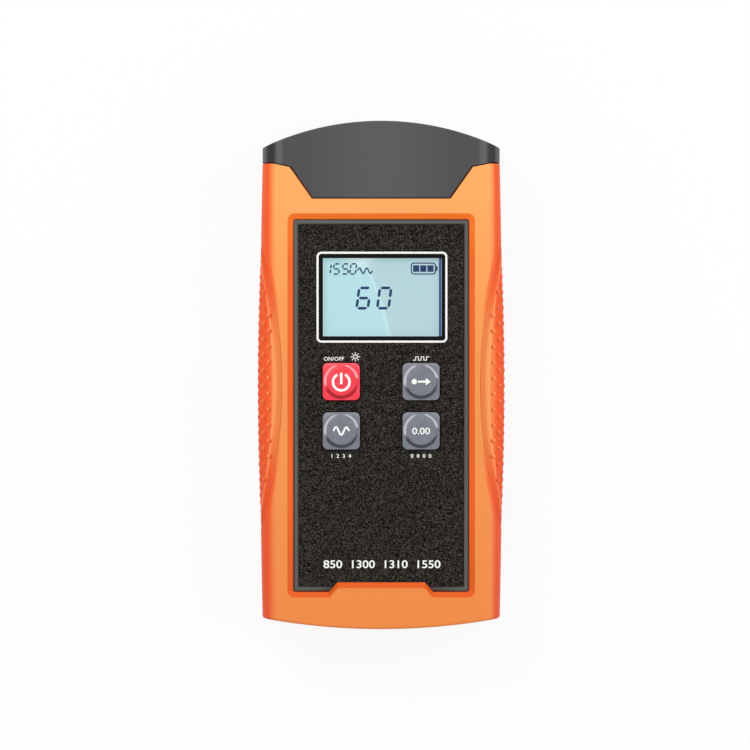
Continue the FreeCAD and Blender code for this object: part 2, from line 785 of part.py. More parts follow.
def make_dust_cover():
    """Flip cover: an arched cap open towards the ports, with a tongue in front and two hinge lugs."""
    cover = Piece("dust_cover")
    shoulder = half_length - d.cover_arch_rise
    arch = arc_radius(end_half_width, d.cover_arch_rise)
    cover.pad(cover.draw("outline").outline(
        [(-end_half_width, seam), (end_half_width, seam), (end_half_width, shoulder, Bend(arch)),
         (-end_half_width, shoulder)]), face)
    inner_x, inner_shoulder = end_half_width - d.cover_wall, shoulder - d.cover_wall / 2
    inner_arch = arc_radius(inner_x, half_length - d.cover_wall - inner_shoulder)
    below = seam - d.cover_length
    cover.pocket(cover.draw("cavity", offset=d.cover_wall).outline(
        [(-inner_x, below), (inner_x, below), (inner_x, inner_shoulder, Bend(inner_arch)),
         (-inner_x, inner_shoulder)]), face - 2 * d.cover_wall, up=True)
    cover.round(d.cover_edge_radius - d.cover_wall,
                lambda edge: all_at(edge, "z", face - d.cover_wall) and not all_at(edge, "y", seam))
    cover.pad(cover.draw("tongue", offset=face).outline(tongue_path(0)), d.cover_wall, down=True)
    cut_side_rounds(cover)
    cover.round(d.cover_end_radius, lambda edge: on_arch(edge, arch))
    cover.round(d.tongue_edge_radius, is_tongue_edge)
    lug_end = seam + d.lug_root_overlap
    bottom, top = d.hinge_height - d.lug_radius, d.hinge_height + d.lug_radius
    for name, sign in (("right", 1), ("left", -1)):
        lug = cover.draw(f"lug_{name}", plane="YZ_Plane", offset=sign * d.lug_middle_x - d.lug_width / 2)
        lug.outline([(hinge_y, bottom), (lug_end, bottom), (lug_end, top), (hinge_y, top, Bend(d.lug_radius)),
                     (hinge_y - d.lug_radius, d.hinge_height, Bend(d.lug_radius))])
        cover.pad(lug, d.lug_width)
    eye = cover.draw("lug_eyes", plane="YZ_Plane").circle(
        hinge_y, d.hinge_height, d.pin_radius + d.pin_running_gap)
    cover.pocket(eye, 4 * end_half_width, both=True)
    return cover


def make_hinge_pins():
    """Two short steel pins, each through its block and its lug."""
    inner = d.lug_middle_x - d.lug_width / 2 - d.lug_side_gap - d.hinge_block_wall
    length = end_half_width - d.pin_inner_setback - inner
    for name, start in (("right", inner), ("left", -inner - length)):
        pin = Piece(f"cover_hinge_pin_{name}")
        pin.pad(pin.draw("section", plane="YZ_Plane").circle(0, 0, d.pin_radius), length)
        pin.place(start, hinge_y, d.hinge_height)


def make_grips():
    """Soft grips: leaf-shaped C sections that wrap the front, the side and the back."""
    leaf_radius = arc_radius(d.grip_half_length, d.grip_leaf_depth)
    outer_radius = arc_radius(d.grip_half_length, d.grip_bulge)
    upper, lower = grip_middle + d.grip_half_length, grip_middle - d.grip_half_length
    long_half = d.grip_half_length + d.grip_run_out
    long_x = d.grip_tip_half_width + d.grip_bulge - arc_drop(outer_radius, long_half)
    inner_x = d.grip_tip_half_width - d.grip_leaf_depth - d.grip_run_out
    seat_x = d.grip_tip_half_width - d.grip_seat_depth
    blank = [(inner_x, grip_middle - long_half), (long_x, grip_middle - long_half, Bend(outer_radius)),
             (long_x, grip_middle + long_half), (inner_x, grip_middle + long_half)]
    outside = d.grip_tip_half_width + d.grip_run_out
    past_y = long_half + d.grip_run_out
    beyond = [(inner_x - d.grip_run_out, grip_middle - past_y), (outside, grip_middle - past_y),
              (outside, lower), (d.grip_tip_half_width, lower, Bend(leaf_radius, left=False)),
              (d.grip_tip_half_width, upper), (outside, upper), (outside, grip_middle + past_y),
              (inner_x - d.grip_run_out, grip_middle + past_y)]
    core = box(inner_x - d.grip_run_out, seat_x, d.grip_thickness, face - d.grip_thickness)
    for hand, turned in (("right", lambda path: path), ("left", mirrored)):
        grip = Piece(f"side_grip_{hand}")
        grip.pad(grip.draw("blank").outline(turned(blank)), face)
        grip.round(d.side_edge_radius, is_outer_long_edge)
        grip.pocket(grip.draw("beyond_leaf").outline(turned(beyond)), face, up=True)
        seat = grip.draw("seat", plane="XZ_Plane").outline(turned(core))
        grip.pocket(seat, 2 * d.case_length, both=True)


def is_outer_long_edge(edge):
    """True for the outer long edges of a grip's blank, front and back."""
    widest = min(abs(point.x) for point in points_on(edge))
    return widest > (d.grip_tip_half_width - d.grip_bulge).value and edge.Length > d.grip_half_length.value


def make_panel_frame():
    """Dark frame in the recess: a seat for the film, the window's ledge and the key holes."""
    frame = Piece("panel_frame")
    frame.pad(frame.draw("outline", offset=panel_seat).outline(panel_outline(0, d.frame_corner_radius)),
              d.frame_thickness)
    film_x = d.frame_half_width - d.film_border + d.film_gap
    frame.pocket(frame.draw("film_seat", offset=frame_top).outline(rounded_box(
        -film_x, film_x, frame_lower + d.film_border - d.film_gap, frame_upper - d.film_border + d.film_gap,
        d.film_corner_radius)), d.film_seat_depth)
    frame.pocket(key_holes(frame.draw("key_holes", offset=panel_seat)), d.frame_thickness, up=True)
    frame.pocket(frame.draw("window_seat", offset=panel_seat + d.window_ledge_thickness).outline(
        display_box(d.window_half_width + d.window_gap, d.window_half_height + d.window_gap,
                    d.window_corner_radius)), d.frame_thickness, up=True)
    frame.pocket(frame.draw("view", offset=panel_seat).outline(
        display_box(d.window_half_width - d.window_ledge, d.window_half_height - d.window_ledge,
                    d.window_corner_radius)), d.frame_thickness, up=True)
    return frame


def make_panel_overlay():
    """Printed film over the keypad and round the window."""
    film = Piece("panel_overlay")
    x, top, bottom = d.frame_half_width - d.film_border, frame_upper - d.film_border, frame_lower + d.film_border
    notch_top = frame_lower + d.frame_notch_rise
    slant = d.frame_notch_flare * (d.frame_notch_rise - d.film_border) / d.frame_notch_rise
    notch_in, corner = d.frame_notch_half_width, d.film_corner_radius
    turn = Bend(corner)
    film.pad(film.draw("outline", offset=film_seat).outline([
        (-x + corner, bottom), (-notch_in - slant, bottom), (-notch_in, notch_top), (notch_in, notch_top),
        (notch_in + slant, bottom), (x - corner, bottom, turn), (x, bottom + corner),
        (x, top - corner, turn), (x - corner, top), (corner - x, top, turn), (-x, top - corner),
        (-x, bottom + corner, turn)]), d.film_thickness)
    openings = key_holes(film.draw("openings", offset=film_seat))
    openings.outline(display_box(d.window_half_width + d.window_gap, d.window_half_height + d.window_gap,
                                 d.window_corner_radius))
    film.pocket(openings, d.film_thickness, up=True)
    return film


def make_display():
    """Window, segment glass and backlight, one above the other."""
    window_bottom = panel_seat + d.window_ledge_thickness
    glass_bottom = panel_seat - d.glass_gap - d.glass_thickness
    for label, bottom, top, half_width, half_height in (
            ("display_window", window_bottom, film_top, d.window_half_width, d.window_half_height),
            ("lcd_glass", glass_bottom, glass_bottom + d.glass_thickness, d.glass_half_width,
             d.glass_half_height),
            ("lcd_backlight", board_top, glass_bottom, d.backlight_half_width, d.backlight_half_height)):
        layer = Piece(label)
        layer.pad(layer.draw("outline", offset=bottom).outline(
            display_box(half_width, half_height, d.window_corner_radius)), top - bottom)


def make_key(label, x, y):
    """Push key: a square skirt with a round domed crown, held by a flange under the panel."""
    key = Piece(label)
    flange_top = panel_under - d.key_flange_gap
    half, wide = d.key_half_width, d.key_half_width + d.key_flange_width
    key.pad(key.draw("flange", offset=-d.key_flange_thickness).outline(
        rounded_box(-wide, wide, -wide, wide, d.key_corner_radius)), d.key_flange_thickness)
    skirt_top = film_top + d.key_skirt_height - flange_top
    key.pad(key.draw("skirt").outline(
        rounded_box(-half, half, -half, half, d.key_corner_radius)), skirt_top)
    crown_top, crown_radius = skirt_top + d.key_crown_height, arc_radius(d.key_crown_radius, d.key_crown_height)
    crown = key.draw("crown", plane="XZ_Plane").outline(
        [(0, skirt_top - d.key_skirt_height), (d.key_crown_radius, skirt_top - d.key_skirt_height),
         (d.key_crown_radius, skirt_top, Bend(crown_radius)), (0, crown_top)])
    key.revolve(crown)
    key.place(x, y, flange_top)


def make_keypad():
    """Silicone mat with four hollow domes, and the metal switch domes under them."""
    mat = Piece("keypad_mat")
    x = d.key_spread + d.mat_margin
    top, bottom = key_row_y + d.mat_margin, key_row_y - d.key_row_pitch - d.mat_margin
    mat.pad(mat.draw("sheet", offset=board_top).outline(
        rounded_box(-x, x, bottom, top, d.cavity_corner_radius)), d.mat_thickness)
    domes, hollows = mat.draw("domes", offset=board_top), mat.draw("hollows", offset=board_top)
    switches = Piece("dome_switches")
    discs = switches.draw("discs", offset=board_top)
    for _, x, y in key_places():
        domes.circle(x, y, d.mat_dome_radius)
        hollows.circle(x, y, d.mat_dome_radius - d.mat_skin)
        discs.circle(x, y, d.switch_radius)
    mat.pad(domes, d.mat_thickness + d.mat_dome_height)
    mat.pocket(hollows, d.mat_thickness + d.mat_dome_height - d.mat_skin, up=True)
    switches.pad(discs, d.switch_height)


def make_main_board():
    """Circuit board on the roof of the battery bay, with the holes of its two screws."""
    board = Piece("main_board")
    board.pad(board.draw("outline", offset=board_bottom).outline(rounded_box(
        -board_half_width, board_half_width, board_lower, board_upper, d.cavity_corner_radius)),
        d.board_thickness)
    holes = board.draw("screw_holes", offset=board_bottom)
    screws = Piece("board_screws")
    heads, shanks = screws.draw("heads", offset=board_bottom), screws.draw("shanks", offset=board_bottom)
    for x, y in board_screw_places():
        holes.circle(x, y, d.board_screw_radius)
        heads.circle(x, y, d.board_screw_head_radius)
        shanks.circle(x, y, d.board_screw_radius)
    board.pocket(holes, d.board_thickness, up=True)
    screws.pad(heads, d.board_screw_head_height, down=True)
    screws.pad(shanks, d.board_thickness + d.board_screw_reach)


def cross(x, y, reach, half):
    """Outline of a cross about a point."""
    quarter = [(half, -reach), (half, -half), (reach, -half)]
    turns = [(1, 0, 0, 1), (0, -1, 1, 0), (-1, 0, 0, -1), (0, 1, -1, 0)]
    return [(x + a * u + b * v, y + c * u + e * v) for a, b, c, e in turns for u, v in quarter]


def make_case_screws():
    """Four screws from the back, sunk in their bosses."""
    screws = Piece("case_screws")
    heads, shanks = screws.draw("heads", offset=d.screw_head_depth), screws.draw("shanks", offset=d.screw_head_depth)
    for x, y in screw_places():
        heads.circle(x, y, d.screw_head_radius)
        shanks.circle(x, y, d.screw_radius)
    screws.pad(heads, d.screw_head_height)
    screws.pad(shanks, d.parting_height + d.screw_reach - d.screw_head_depth)
    crosses = screws.draw("crosses", offset=d.screw_head_depth)
    for x, y in screw_places():
        crosses.outline(cross(x, y, d.screw_recess_reach, d.screw_recess_half_width))
    screws.pocket(crosses, d.screw_recess_depth, up=True)


def make_port_plate():
    """Dark insert in the upper end wall that carries the two ports."""
    plate = Piece("port_plate")
    x, z = d.plate_half_width, d.plate_half_height
    flange_x, flange_z = x + d.plate_flange, z + d.plate_flange
    plate.pad(plate.draw("front", plane="XZ_Plane", offset=-body_end).outline(
        rounded_box(-x, x, port_height - z, port_height + z, d.plate_corner_radius)), d.end_wall, down=False)
    plate.pad(plate.draw("flange", plane="XZ_Plane", offset=-inner_top).outline(
        rounded_box(-flange_x, flange_x, port_height - flange_z, port_height + flange_z,
                    d.plate_corner_radius)), d.plate_flange_thickness)
    holes = plate.draw("port_holes", plane="XZ_Plane", offset=-body_end)
    holes.circle(-d.port_spread, port_height, d.snout_radius + d.snout_gap)
    holes.circle(d.port_spread, port_height, d.laser_barrel_radius + d.snout_gap)
    plate.pocket(holes, 4 * d.end_wall, both=True)


def turned_piece(label, x, profile):
    """Piece turned about the axis of a port; its profile is (radius, distance past the end wall)."""
    piece = Piece(label)
    piece.revolve(piece.draw("profile").outline(profile))
    piece.place(x, port_y, port_height)


def make_ports():
    """Optical input with its ferrule adapter and photodetector, and the laser output with its module."""
    plate_back = d.end_wall + d.plate_flange_thickness
    flange_back = plate_back + d.port_flange_thickness
    barrel_back = flange_back + d.port_barrel_length
    detector_front = barrel_back - d.detector_length
    face_y = d.adapter_seat_gap + d.snout_length + d.snout_gap + d.adapter_face_thickness
    tube_end = face_y - d.ferrule_bore_depth
    turned_piece("optical_port_body", -d.port_spread, [
        (d.ferrule_bore_radius, -detector_front), (d.detector_radius + d.detector_gap, -detector_front),
        (d.detector_radius + d.detector_gap, -barrel_back), (d.port_barrel_radius, -barrel_back),
        (d.port_barrel_radius, -flange_back), (d.port_flange_radius, -flange_back),
        (d.port_flange_radius, -plate_back), (d.snout_radius, -plate_back), (d.snout_radius, d.snout_length),
        (d.snout_bore_radius, d.snout_length), (d.snout_bore_radius, tube_end - d.snout_gap),
        (d.ferrule_bore_radius, tube_end - d.snout_gap)])
    turned_piece("optical_adapter", -d.port_spread, [
        (d.ferrule_bore_radius, tube_end), (d.adapter_tube_radius, tube_end),
        (d.adapter_tube_radius, d.snout_length + d.snout_gap),
        (d.snout_radius + d.snout_gap, d.snout_length + d.snout_gap),
        (d.snout_radius + d.snout_gap, d.adapter_seat_gap), (d.adapter_radius, d.adapter_seat_gap),
        (d.adapter_radius, face_y), (d.ferrule_bore_radius, face_y)])
    turned_piece("photodetector", -d.port_spread, [
        (0, -detector_front - d.detector_length - d.detector_rim_thickness),
        (d.detector_rim_radius, -detector_front - d.detector_length - d.detector_rim_thickness),
        (d.detector_rim_radius, -barrel_back), (d.detector_radius, -barrel_back),
        (d.detector_radius, -detector_front - d.detector_gap), (0, -detector_front - d.detector_gap)])
    laser_back = plate_back + d.laser_barrel_length
    turned_piece("laser_port", d.port_spread, [
        (d.ferrule_bore_radius, -laser_back), (d.laser_barrel_radius, -laser_back),
        (d.laser_barrel_radius, 0), (d.laser_collar_radius, 0), (d.laser_collar_radius, d.laser_collar_length),
        (d.ferrule_bore_radius, d.laser_collar_length)])
    turned_piece("laser_port_nut", d.port_spread, [
        (d.laser_barrel_radius, -plate_back - d.laser_nut_thickness),
        (d.laser_nut_radius, -plate_back - d.laser_nut_thickness), (d.laser_nut_radius, -plate_back),
        (d.laser_barrel_radius, -plate_back)])
    turned_piece("laser_module", d.port_spread, [
        (0, -laser_back - d.laser_module_length), (d.laser_module_radius, -laser_back - d.laser_module_length),
        (d.laser_module_radius, -laser_back), (0, -laser_back)])


def make_battery_door():
    """Sliding door: a plate with a rail along each side, arched lower end and grip ribs."""
    door = Piece("battery_door")
    upper = bay_upper + d.door_overlap
    inner, outer = d.door_half_width, d.door_half_width + d.door_rail_width
    inner_low = end_radius - half_length - (end_radius * end_radius - inner * inner).root()
    outer_low = end_radius - half_length - (end_radius * end_radius - outer * outer).root()
    door.pad(door.draw("plate").outline([
        (-inner, inner_low, Bend(end_radius)), (inner, inner_low), (inner, upper), (-inner, upper)]),
        d.door_thickness)
    door.pad(door.draw("rails", offset=d.door_thickness).outline([
        (-outer, outer_low, Bend(end_radius)), (outer, outer_low), (outer, upper), (-outer, upper)]),
        d.door_rail_thickness, down=True)
    door.round(d.end_edge_radius, lambda edge: all_at(edge, "z", 0) and on_lower_end(edge))
    groove = door.draw("grip_groove")
    top = upper - d.door_grip_setback
    groove.outline(box(-d.door_grip_half_length, d.door_grip_half_length, top - d.door_grip_width, top))
    cut = door.pocket(groove, d.door_grip_depth, up=True)
    row = door.body.newObject("PartDesign::LinearPattern", "battery_door_grip_row")
    row.Originals = [cut]
    row.Direction = (groove.sketch, ["V_Axis"])
    row.Reversed = True
    row.setExpression("Occurrences", d.door_grip_ribs.formula)
    row.Occurrences = int(d.door_grip_ribs.value)
    bind(row, "Length", d.door_grip_pitch * (d.door_grip_ribs - 1))
    door.body.Tip = row


def make_batteries():
    """Three cells side by side, the middle one turned end for end."""
    pitch = d.battery_diameter + d.battery_gap
    middle_y = (bay_lower + bay_upper) / 2
    half = d.battery_length / 2
    for label, column, way in (("battery_left", -1, 1), ("battery_middle", 0, -1), ("battery_right", 1, 1)):
        cell = Piece(label)
        shoulder = half - d.battery_button_length
        profile = [(0, -half), (battery_radius, -half), (battery_radius, shoulder),
                   (d.battery_button_radius, shoulder), (d.battery_button_radius, half), (0, half)]
        if way < 0:
            profile = [(x, -y) for x, y in reversed(profile)]
        cell.revolve(cell.draw("profile").outline(profile))
        cell.place(column * pitch, middle_y, battery_height)


def make_contacts():
    """Bowed leaf contacts at both ends of the bay, one for each end of each cell."""
    pitch = d.battery_diameter + d.battery_gap
    half, bow = d.contact_half_width, d.contact_bow
    outer, inner = arc_radius(half, bow), arc_radius(half, bow - d.contact_thickness)
    for label, wall_y, way in (("battery_contacts_lower", bay_lower, 1),
                               ("battery_contacts_upper", bay_upper, -1)):
        contacts = Piece(label)
        leaves = contacts.draw("leaves", offset=battery_height - d.contact_height / 2)
        for column in (-1, 0, 1):
            x = column * pitch
            leaves.outline([
                (x - half, wall_y, Bend(inner, left=way < 0)), (x + half, wall_y, Bend(outer, left=way > 0))])
        contacts.pad(leaves, d.contact_height)


make_front_shell()
make_rear_shell()
make_grips()
make_dust_cover()
make_hinge_pins()
make_panel_frame()
make_panel_overlay()
make_display()
for key_label, key_x, key_y in key_places():
    make_key(key_label, key_x, key_y)
make_keypad()
make_main_board()
make_case_screws()
make_port_plate()
make_ports()
make_battery_door()
make_batteries()
make_contacts()
doc.recompute()

faults = [f"{item.Label}: {item.State}" for item in doc.Objects
          if "Invalid" in item.State or "Error" in item.State]
faults += [f"{piece.Label}: bad shape" for piece in (item for item in pieces)
           if piece.Shape.isNull() or not piece.Shape.isValid() or not piece.Shape.Solids]
if faults:
    raise RuntimeError("; ".join(faults))

os.makedirs("parts", exist_ok=True)
for piece in pieces:
    piece.Shape.exportStep(f"parts/{piece.Label}.step")
    extent = piece.Shape.BoundBox
    print(f"{piece.Label:24s} solids {len(piece.Shape.Solids)} volume {piece.Shape.Volume:9.1f} "
          f"x {extent.XMin:7.2f} {extent.XMax:7.2f} y {extent.YMin:7.2f} {extent.YMax:7.2f} "
          f"z {extent.ZMin:6.2f} {extent.ZMax:6.2f}")
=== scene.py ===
"""Dresses the hand-held optical power meter: finishes, mouldings, print, display and studio."""
import logging
import math
from collections.abc import Callable
from dataclasses import dataclass
from enum import Enum
from functools import partial

import bmesh
import bpy
import numpy as np
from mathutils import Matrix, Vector


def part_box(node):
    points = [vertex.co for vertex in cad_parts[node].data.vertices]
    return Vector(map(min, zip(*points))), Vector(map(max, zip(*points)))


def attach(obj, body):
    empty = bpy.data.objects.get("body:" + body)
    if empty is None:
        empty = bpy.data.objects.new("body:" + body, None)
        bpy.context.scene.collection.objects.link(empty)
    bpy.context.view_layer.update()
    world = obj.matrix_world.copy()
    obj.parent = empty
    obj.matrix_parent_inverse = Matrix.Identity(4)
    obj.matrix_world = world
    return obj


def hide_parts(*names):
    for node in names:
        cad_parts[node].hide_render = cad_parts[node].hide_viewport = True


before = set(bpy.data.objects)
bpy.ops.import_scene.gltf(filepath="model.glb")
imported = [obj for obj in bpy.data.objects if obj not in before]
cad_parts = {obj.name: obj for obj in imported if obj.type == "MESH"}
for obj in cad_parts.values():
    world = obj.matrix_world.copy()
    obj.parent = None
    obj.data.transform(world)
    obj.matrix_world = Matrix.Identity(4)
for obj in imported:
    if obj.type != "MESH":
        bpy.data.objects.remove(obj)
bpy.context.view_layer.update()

MM = 0.001
# The mesh attribute that holds painted highlight, towards 1, and painted shade, towards -1.
PAINTED_SHADING = "tone"
WHITE = (1, 1, 1, 1)
log = logging.getLogger("meter")


def tint(red: float, green: float, blue: float) -> tuple[float, float, float, float]:
    """Turn a colour written in 0 to 255 display levels into the linear colour a shader reads.

    Args:
        red, green, blue: display levels.

    Returns:
        The linear red, green, blue and an alpha of one.
    """
    def linear(level: float) -> float:
        share = level / 255
        return share / 12.92 if share <= 0.04045 else ((share + 0.055) / 1.055) ** 2.4
    return linear(red), linear(green), linear(blue), 1.0


def box_of(node: str) -> tuple[np.ndarray, np.ndarray]:
    """Read the low and the high corner of a CAD node's box, in millimetres."""
    low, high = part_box(node)
    return np.array(low) / MM, np.array(high) / MM


def corners_of(low: np.ndarray | tuple, high: np.ndarray | tuple) -> list[tuple[float, float]]:
    """List a flat box's corners, counter-clockwise from its low one."""
    return [(low[0], low[1]), (high[0], low[1]), (high[0], high[1]), (low[0], high[1])]


def smooth(share: np.ndarray | float) -> np.ndarray | float:
    """Climb smoothly from 0 to 1: three times the share squared less twice its cube."""
    share = np.clip(share, 0, 1)
    return share * share * (3 - 2 * share)


# ---------------------------------------------------------------- shader maths

class Signal:
    """One output of a shader node, on which Python's arithmetic adds Math nodes."""

    def __init__(self, recipe: "Recipe", socket: bpy.types.NodeSocket) -> None:
        """Keep the recipe that the socket belongs to."""
        self.recipe = recipe
        self.socket = socket

    def _math(self, operation: str, *values: "Signal | float") -> "Signal":
        """Add one Math node on these values."""
        return self.recipe.node("ShaderNodeMath", {"operation": operation}, dict(enumerate(values)))

    def __add__(self, other: "Signal | float") -> "Signal":
        """This plus other."""
        return self._math("ADD", self, other)

    __radd__ = __add__

    def __sub__(self, other: "Signal | float") -> "Signal":
        """This less other."""
        return self._math("SUBTRACT", self, other)

    def __rsub__(self, other: "Signal | float") -> "Signal":
        """Other less this."""
        return self._math("SUBTRACT", other, self)

    def __mul__(self, other: "Signal | float") -> "Signal":
        """This times other."""
        return self._math("MULTIPLY", self, other)

    def __pow__(self, other: "Signal | float") -> "Signal":
        """This to the power of other."""
        return self._math("POWER", self, other)

    def __abs__(self) -> "Signal":
        """This without its sign."""
        return self._math("ABSOLUTE", self)

    def most(self, other: "Signal | float") -> "Signal":
        """The greater of this and other."""
        return self._math("MAXIMUM", self, other)

    def wave(self) -> "Signal":
        """The sine of this."""
        return self._math("SINE", self)

    def rise(self, start: float, end: float) -> "Signal":
        """Climb smoothly from 0 at start to 1 at end.

        Args:
            start: where the climb starts.
            end: where it ends; a lesser number than start makes a fall.

        Returns:
            The share climbed.
        """
        return self.recipe.node(
            "ShaderNodeMapRange", {"interpolation_type": "SMOOTHSTEP"},
            {"Value": self, "From Min": start, "From Max": end})


class Recipe:
    """A material, or the world, that is being put together from nodes."""

    def __init__(self, name: str, world: bool = False) -> None:
        """Start an empty node tree for a material, or for the world, of this name."""
        self.owner = (bpy.data.worlds if world else bpy.data.materials).new(name)
        self.owner.use_nodes = True
        self.end = "ShaderNodeOutputWorld" if world else "ShaderNodeOutputMaterial"
        self.tree = self.owner.node_tree
        self.tree.nodes.clear()

    def node(self, kind: str, settings: dict | None = None, inputs: dict | None = None,
             output: int | str = 0) -> Signal:
        """Add a node.

        Args:
            kind: the node's type.
            settings: its own settings, set before its sockets; "stops" holds a ramp's stops.
            inputs: its sockets' values or links, by name or number.
            output: the output that is wanted.

        Returns:
            That output.
        """
        made = self.tree.nodes.new(kind)
        for name, value in (settings or {}).items():
            if name == "stops":
                ramp = made.color_ramp.elements
                while len(ramp) < len(value):
                    ramp.new(0.5)
                for stop, (place, colour) in zip(ramp, value):
                    stop.position, stop.color = place, colour
            else:
                setattr(made, name, value)
        for name, value in (inputs or {}).items():
            if isinstance(value, Signal):
                self.tree.links.new(value.socket, made.inputs[name])
            else:
                made.inputs[name].default_value = value
        return Signal(self, made.outputs[output])

    def place(self, scale: tuple[float, float, float] = (1, 1, 1)) -> Signal:
        """Where a point is on the object, in millimetres times scale."""
        spot = self.node("ShaderNodeTexCoord", output="Object")
        return self.node("ShaderNodeVectorMath", {"operation": "MULTIPLY"},
                         {0: spot, 1: tuple(share / MM for share in scale)})

    def axes(self) -> tuple[Signal, Signal, Signal]:
        """The three distances of a point along the object's axes, in millimetres."""
        split = self.node("ShaderNodeSeparateXYZ", inputs={0: self.place()})
        return tuple(Signal(self, socket) for socket in split.socket.node.outputs)

    def noise(self, grain: float, detail: float = 2, seed: float = 0,
              stretch: tuple[float, float, float] = (1, 1, 1)) -> Signal:
        """Smooth noise from 0 to 1.

        Args:
            grain: size of its patches in millimetres.
            detail: number of finer layers.
            seed: which noise it is.
            stretch: how much coarser it is along each axis.

        Returns:
            The noise.
        """
        spot = self.place(tuple(1 / (grain * longer) for longer in stretch))
        return self.node("ShaderNodeTexNoise", {"noise_dimensions": "4D"},
                         {"Vector": spot, "W": seed, "Scale": 1.0, "Detail": detail, "Roughness": 0.55},
                         "Fac")

    def paint_shading(self, base: Signal | tuple, pale: tuple, dark: tuple) -> Signal:
        """Paint a highlight or shade: go towards a pale colour or a dark one by the mesh's painted shading,
        from 1 over 0 to -1.
        """
        tone = self.node("ShaderNodeAttribute", {"attribute_name": PAINTED_SHADING}, output="Fac")
        return self.mix(tone.rise(0, -1), self.mix(tone.rise(0, 1), base, pale), dark)

    def flecks(self, grain: float, seed: float = 0) -> Signal:
        """A different level from 0 to 1 for each small cell of this size in millimetres."""
        spot = self.place((1 / grain,) * 3)
        cells = self.node("ShaderNodeTexVoronoi", {"voronoi_dimensions": "4D"},
                          {"Vector": spot, "W": seed, "Scale": 1.0}, "Color")
        return self.node("ShaderNodeSeparateColor", inputs={0: cells})

    def mix(self, share: Signal | float, low: Signal | tuple, high: Signal | tuple) -> Signal:
        """Go from one colour at share 0 to another at share 1."""
        return self.node("ShaderNodeMix", {"data_type": "RGBA"}, {0: share, 6: low, 7: high}, 2)

    def ramp(self, share: Signal, stops: list[tuple[float, tuple]]) -> Signal:
        """Read a colour from a ramp with these stops."""
        return self.node("ShaderNodeValToRGB", {"stops": stops}, {0: share})

    def bump(self, height: Signal, depth: float, strength: float = 1.0) -> Signal:
        """Tilt the surface by a height of 0 to 1 that is this many millimetres deep."""
        return self.node("ShaderNodeBump", inputs={
            "Height": height, "Distance": depth * MM, "Strength": strength})

    def finish(self, **sockets: "Signal | float | tuple") -> bpy.types.Material:
        """Close the recipe with one surface shader.

        Args:
            sockets: its sockets, with underscores for the spaces in their names.

        Returns:
            The finished material.
        """
        shader = self.node("ShaderNodeBsdfPrincipled", inputs={
            name.replace("_", " "): value for name, value in sockets.items()})
        return self.close(shader)

    def close(self, shader: Signal) -> "bpy.types.Material | bpy.types.World":
        """Send a shader to the tree's output and hand over what the tree belongs to."""
        end = self.tree.nodes.new(self.end)
        self.tree.links.new(shader.socket, end.inputs["Surface"])
        return self.owner


# ---------------------------------------------------------------- finishes

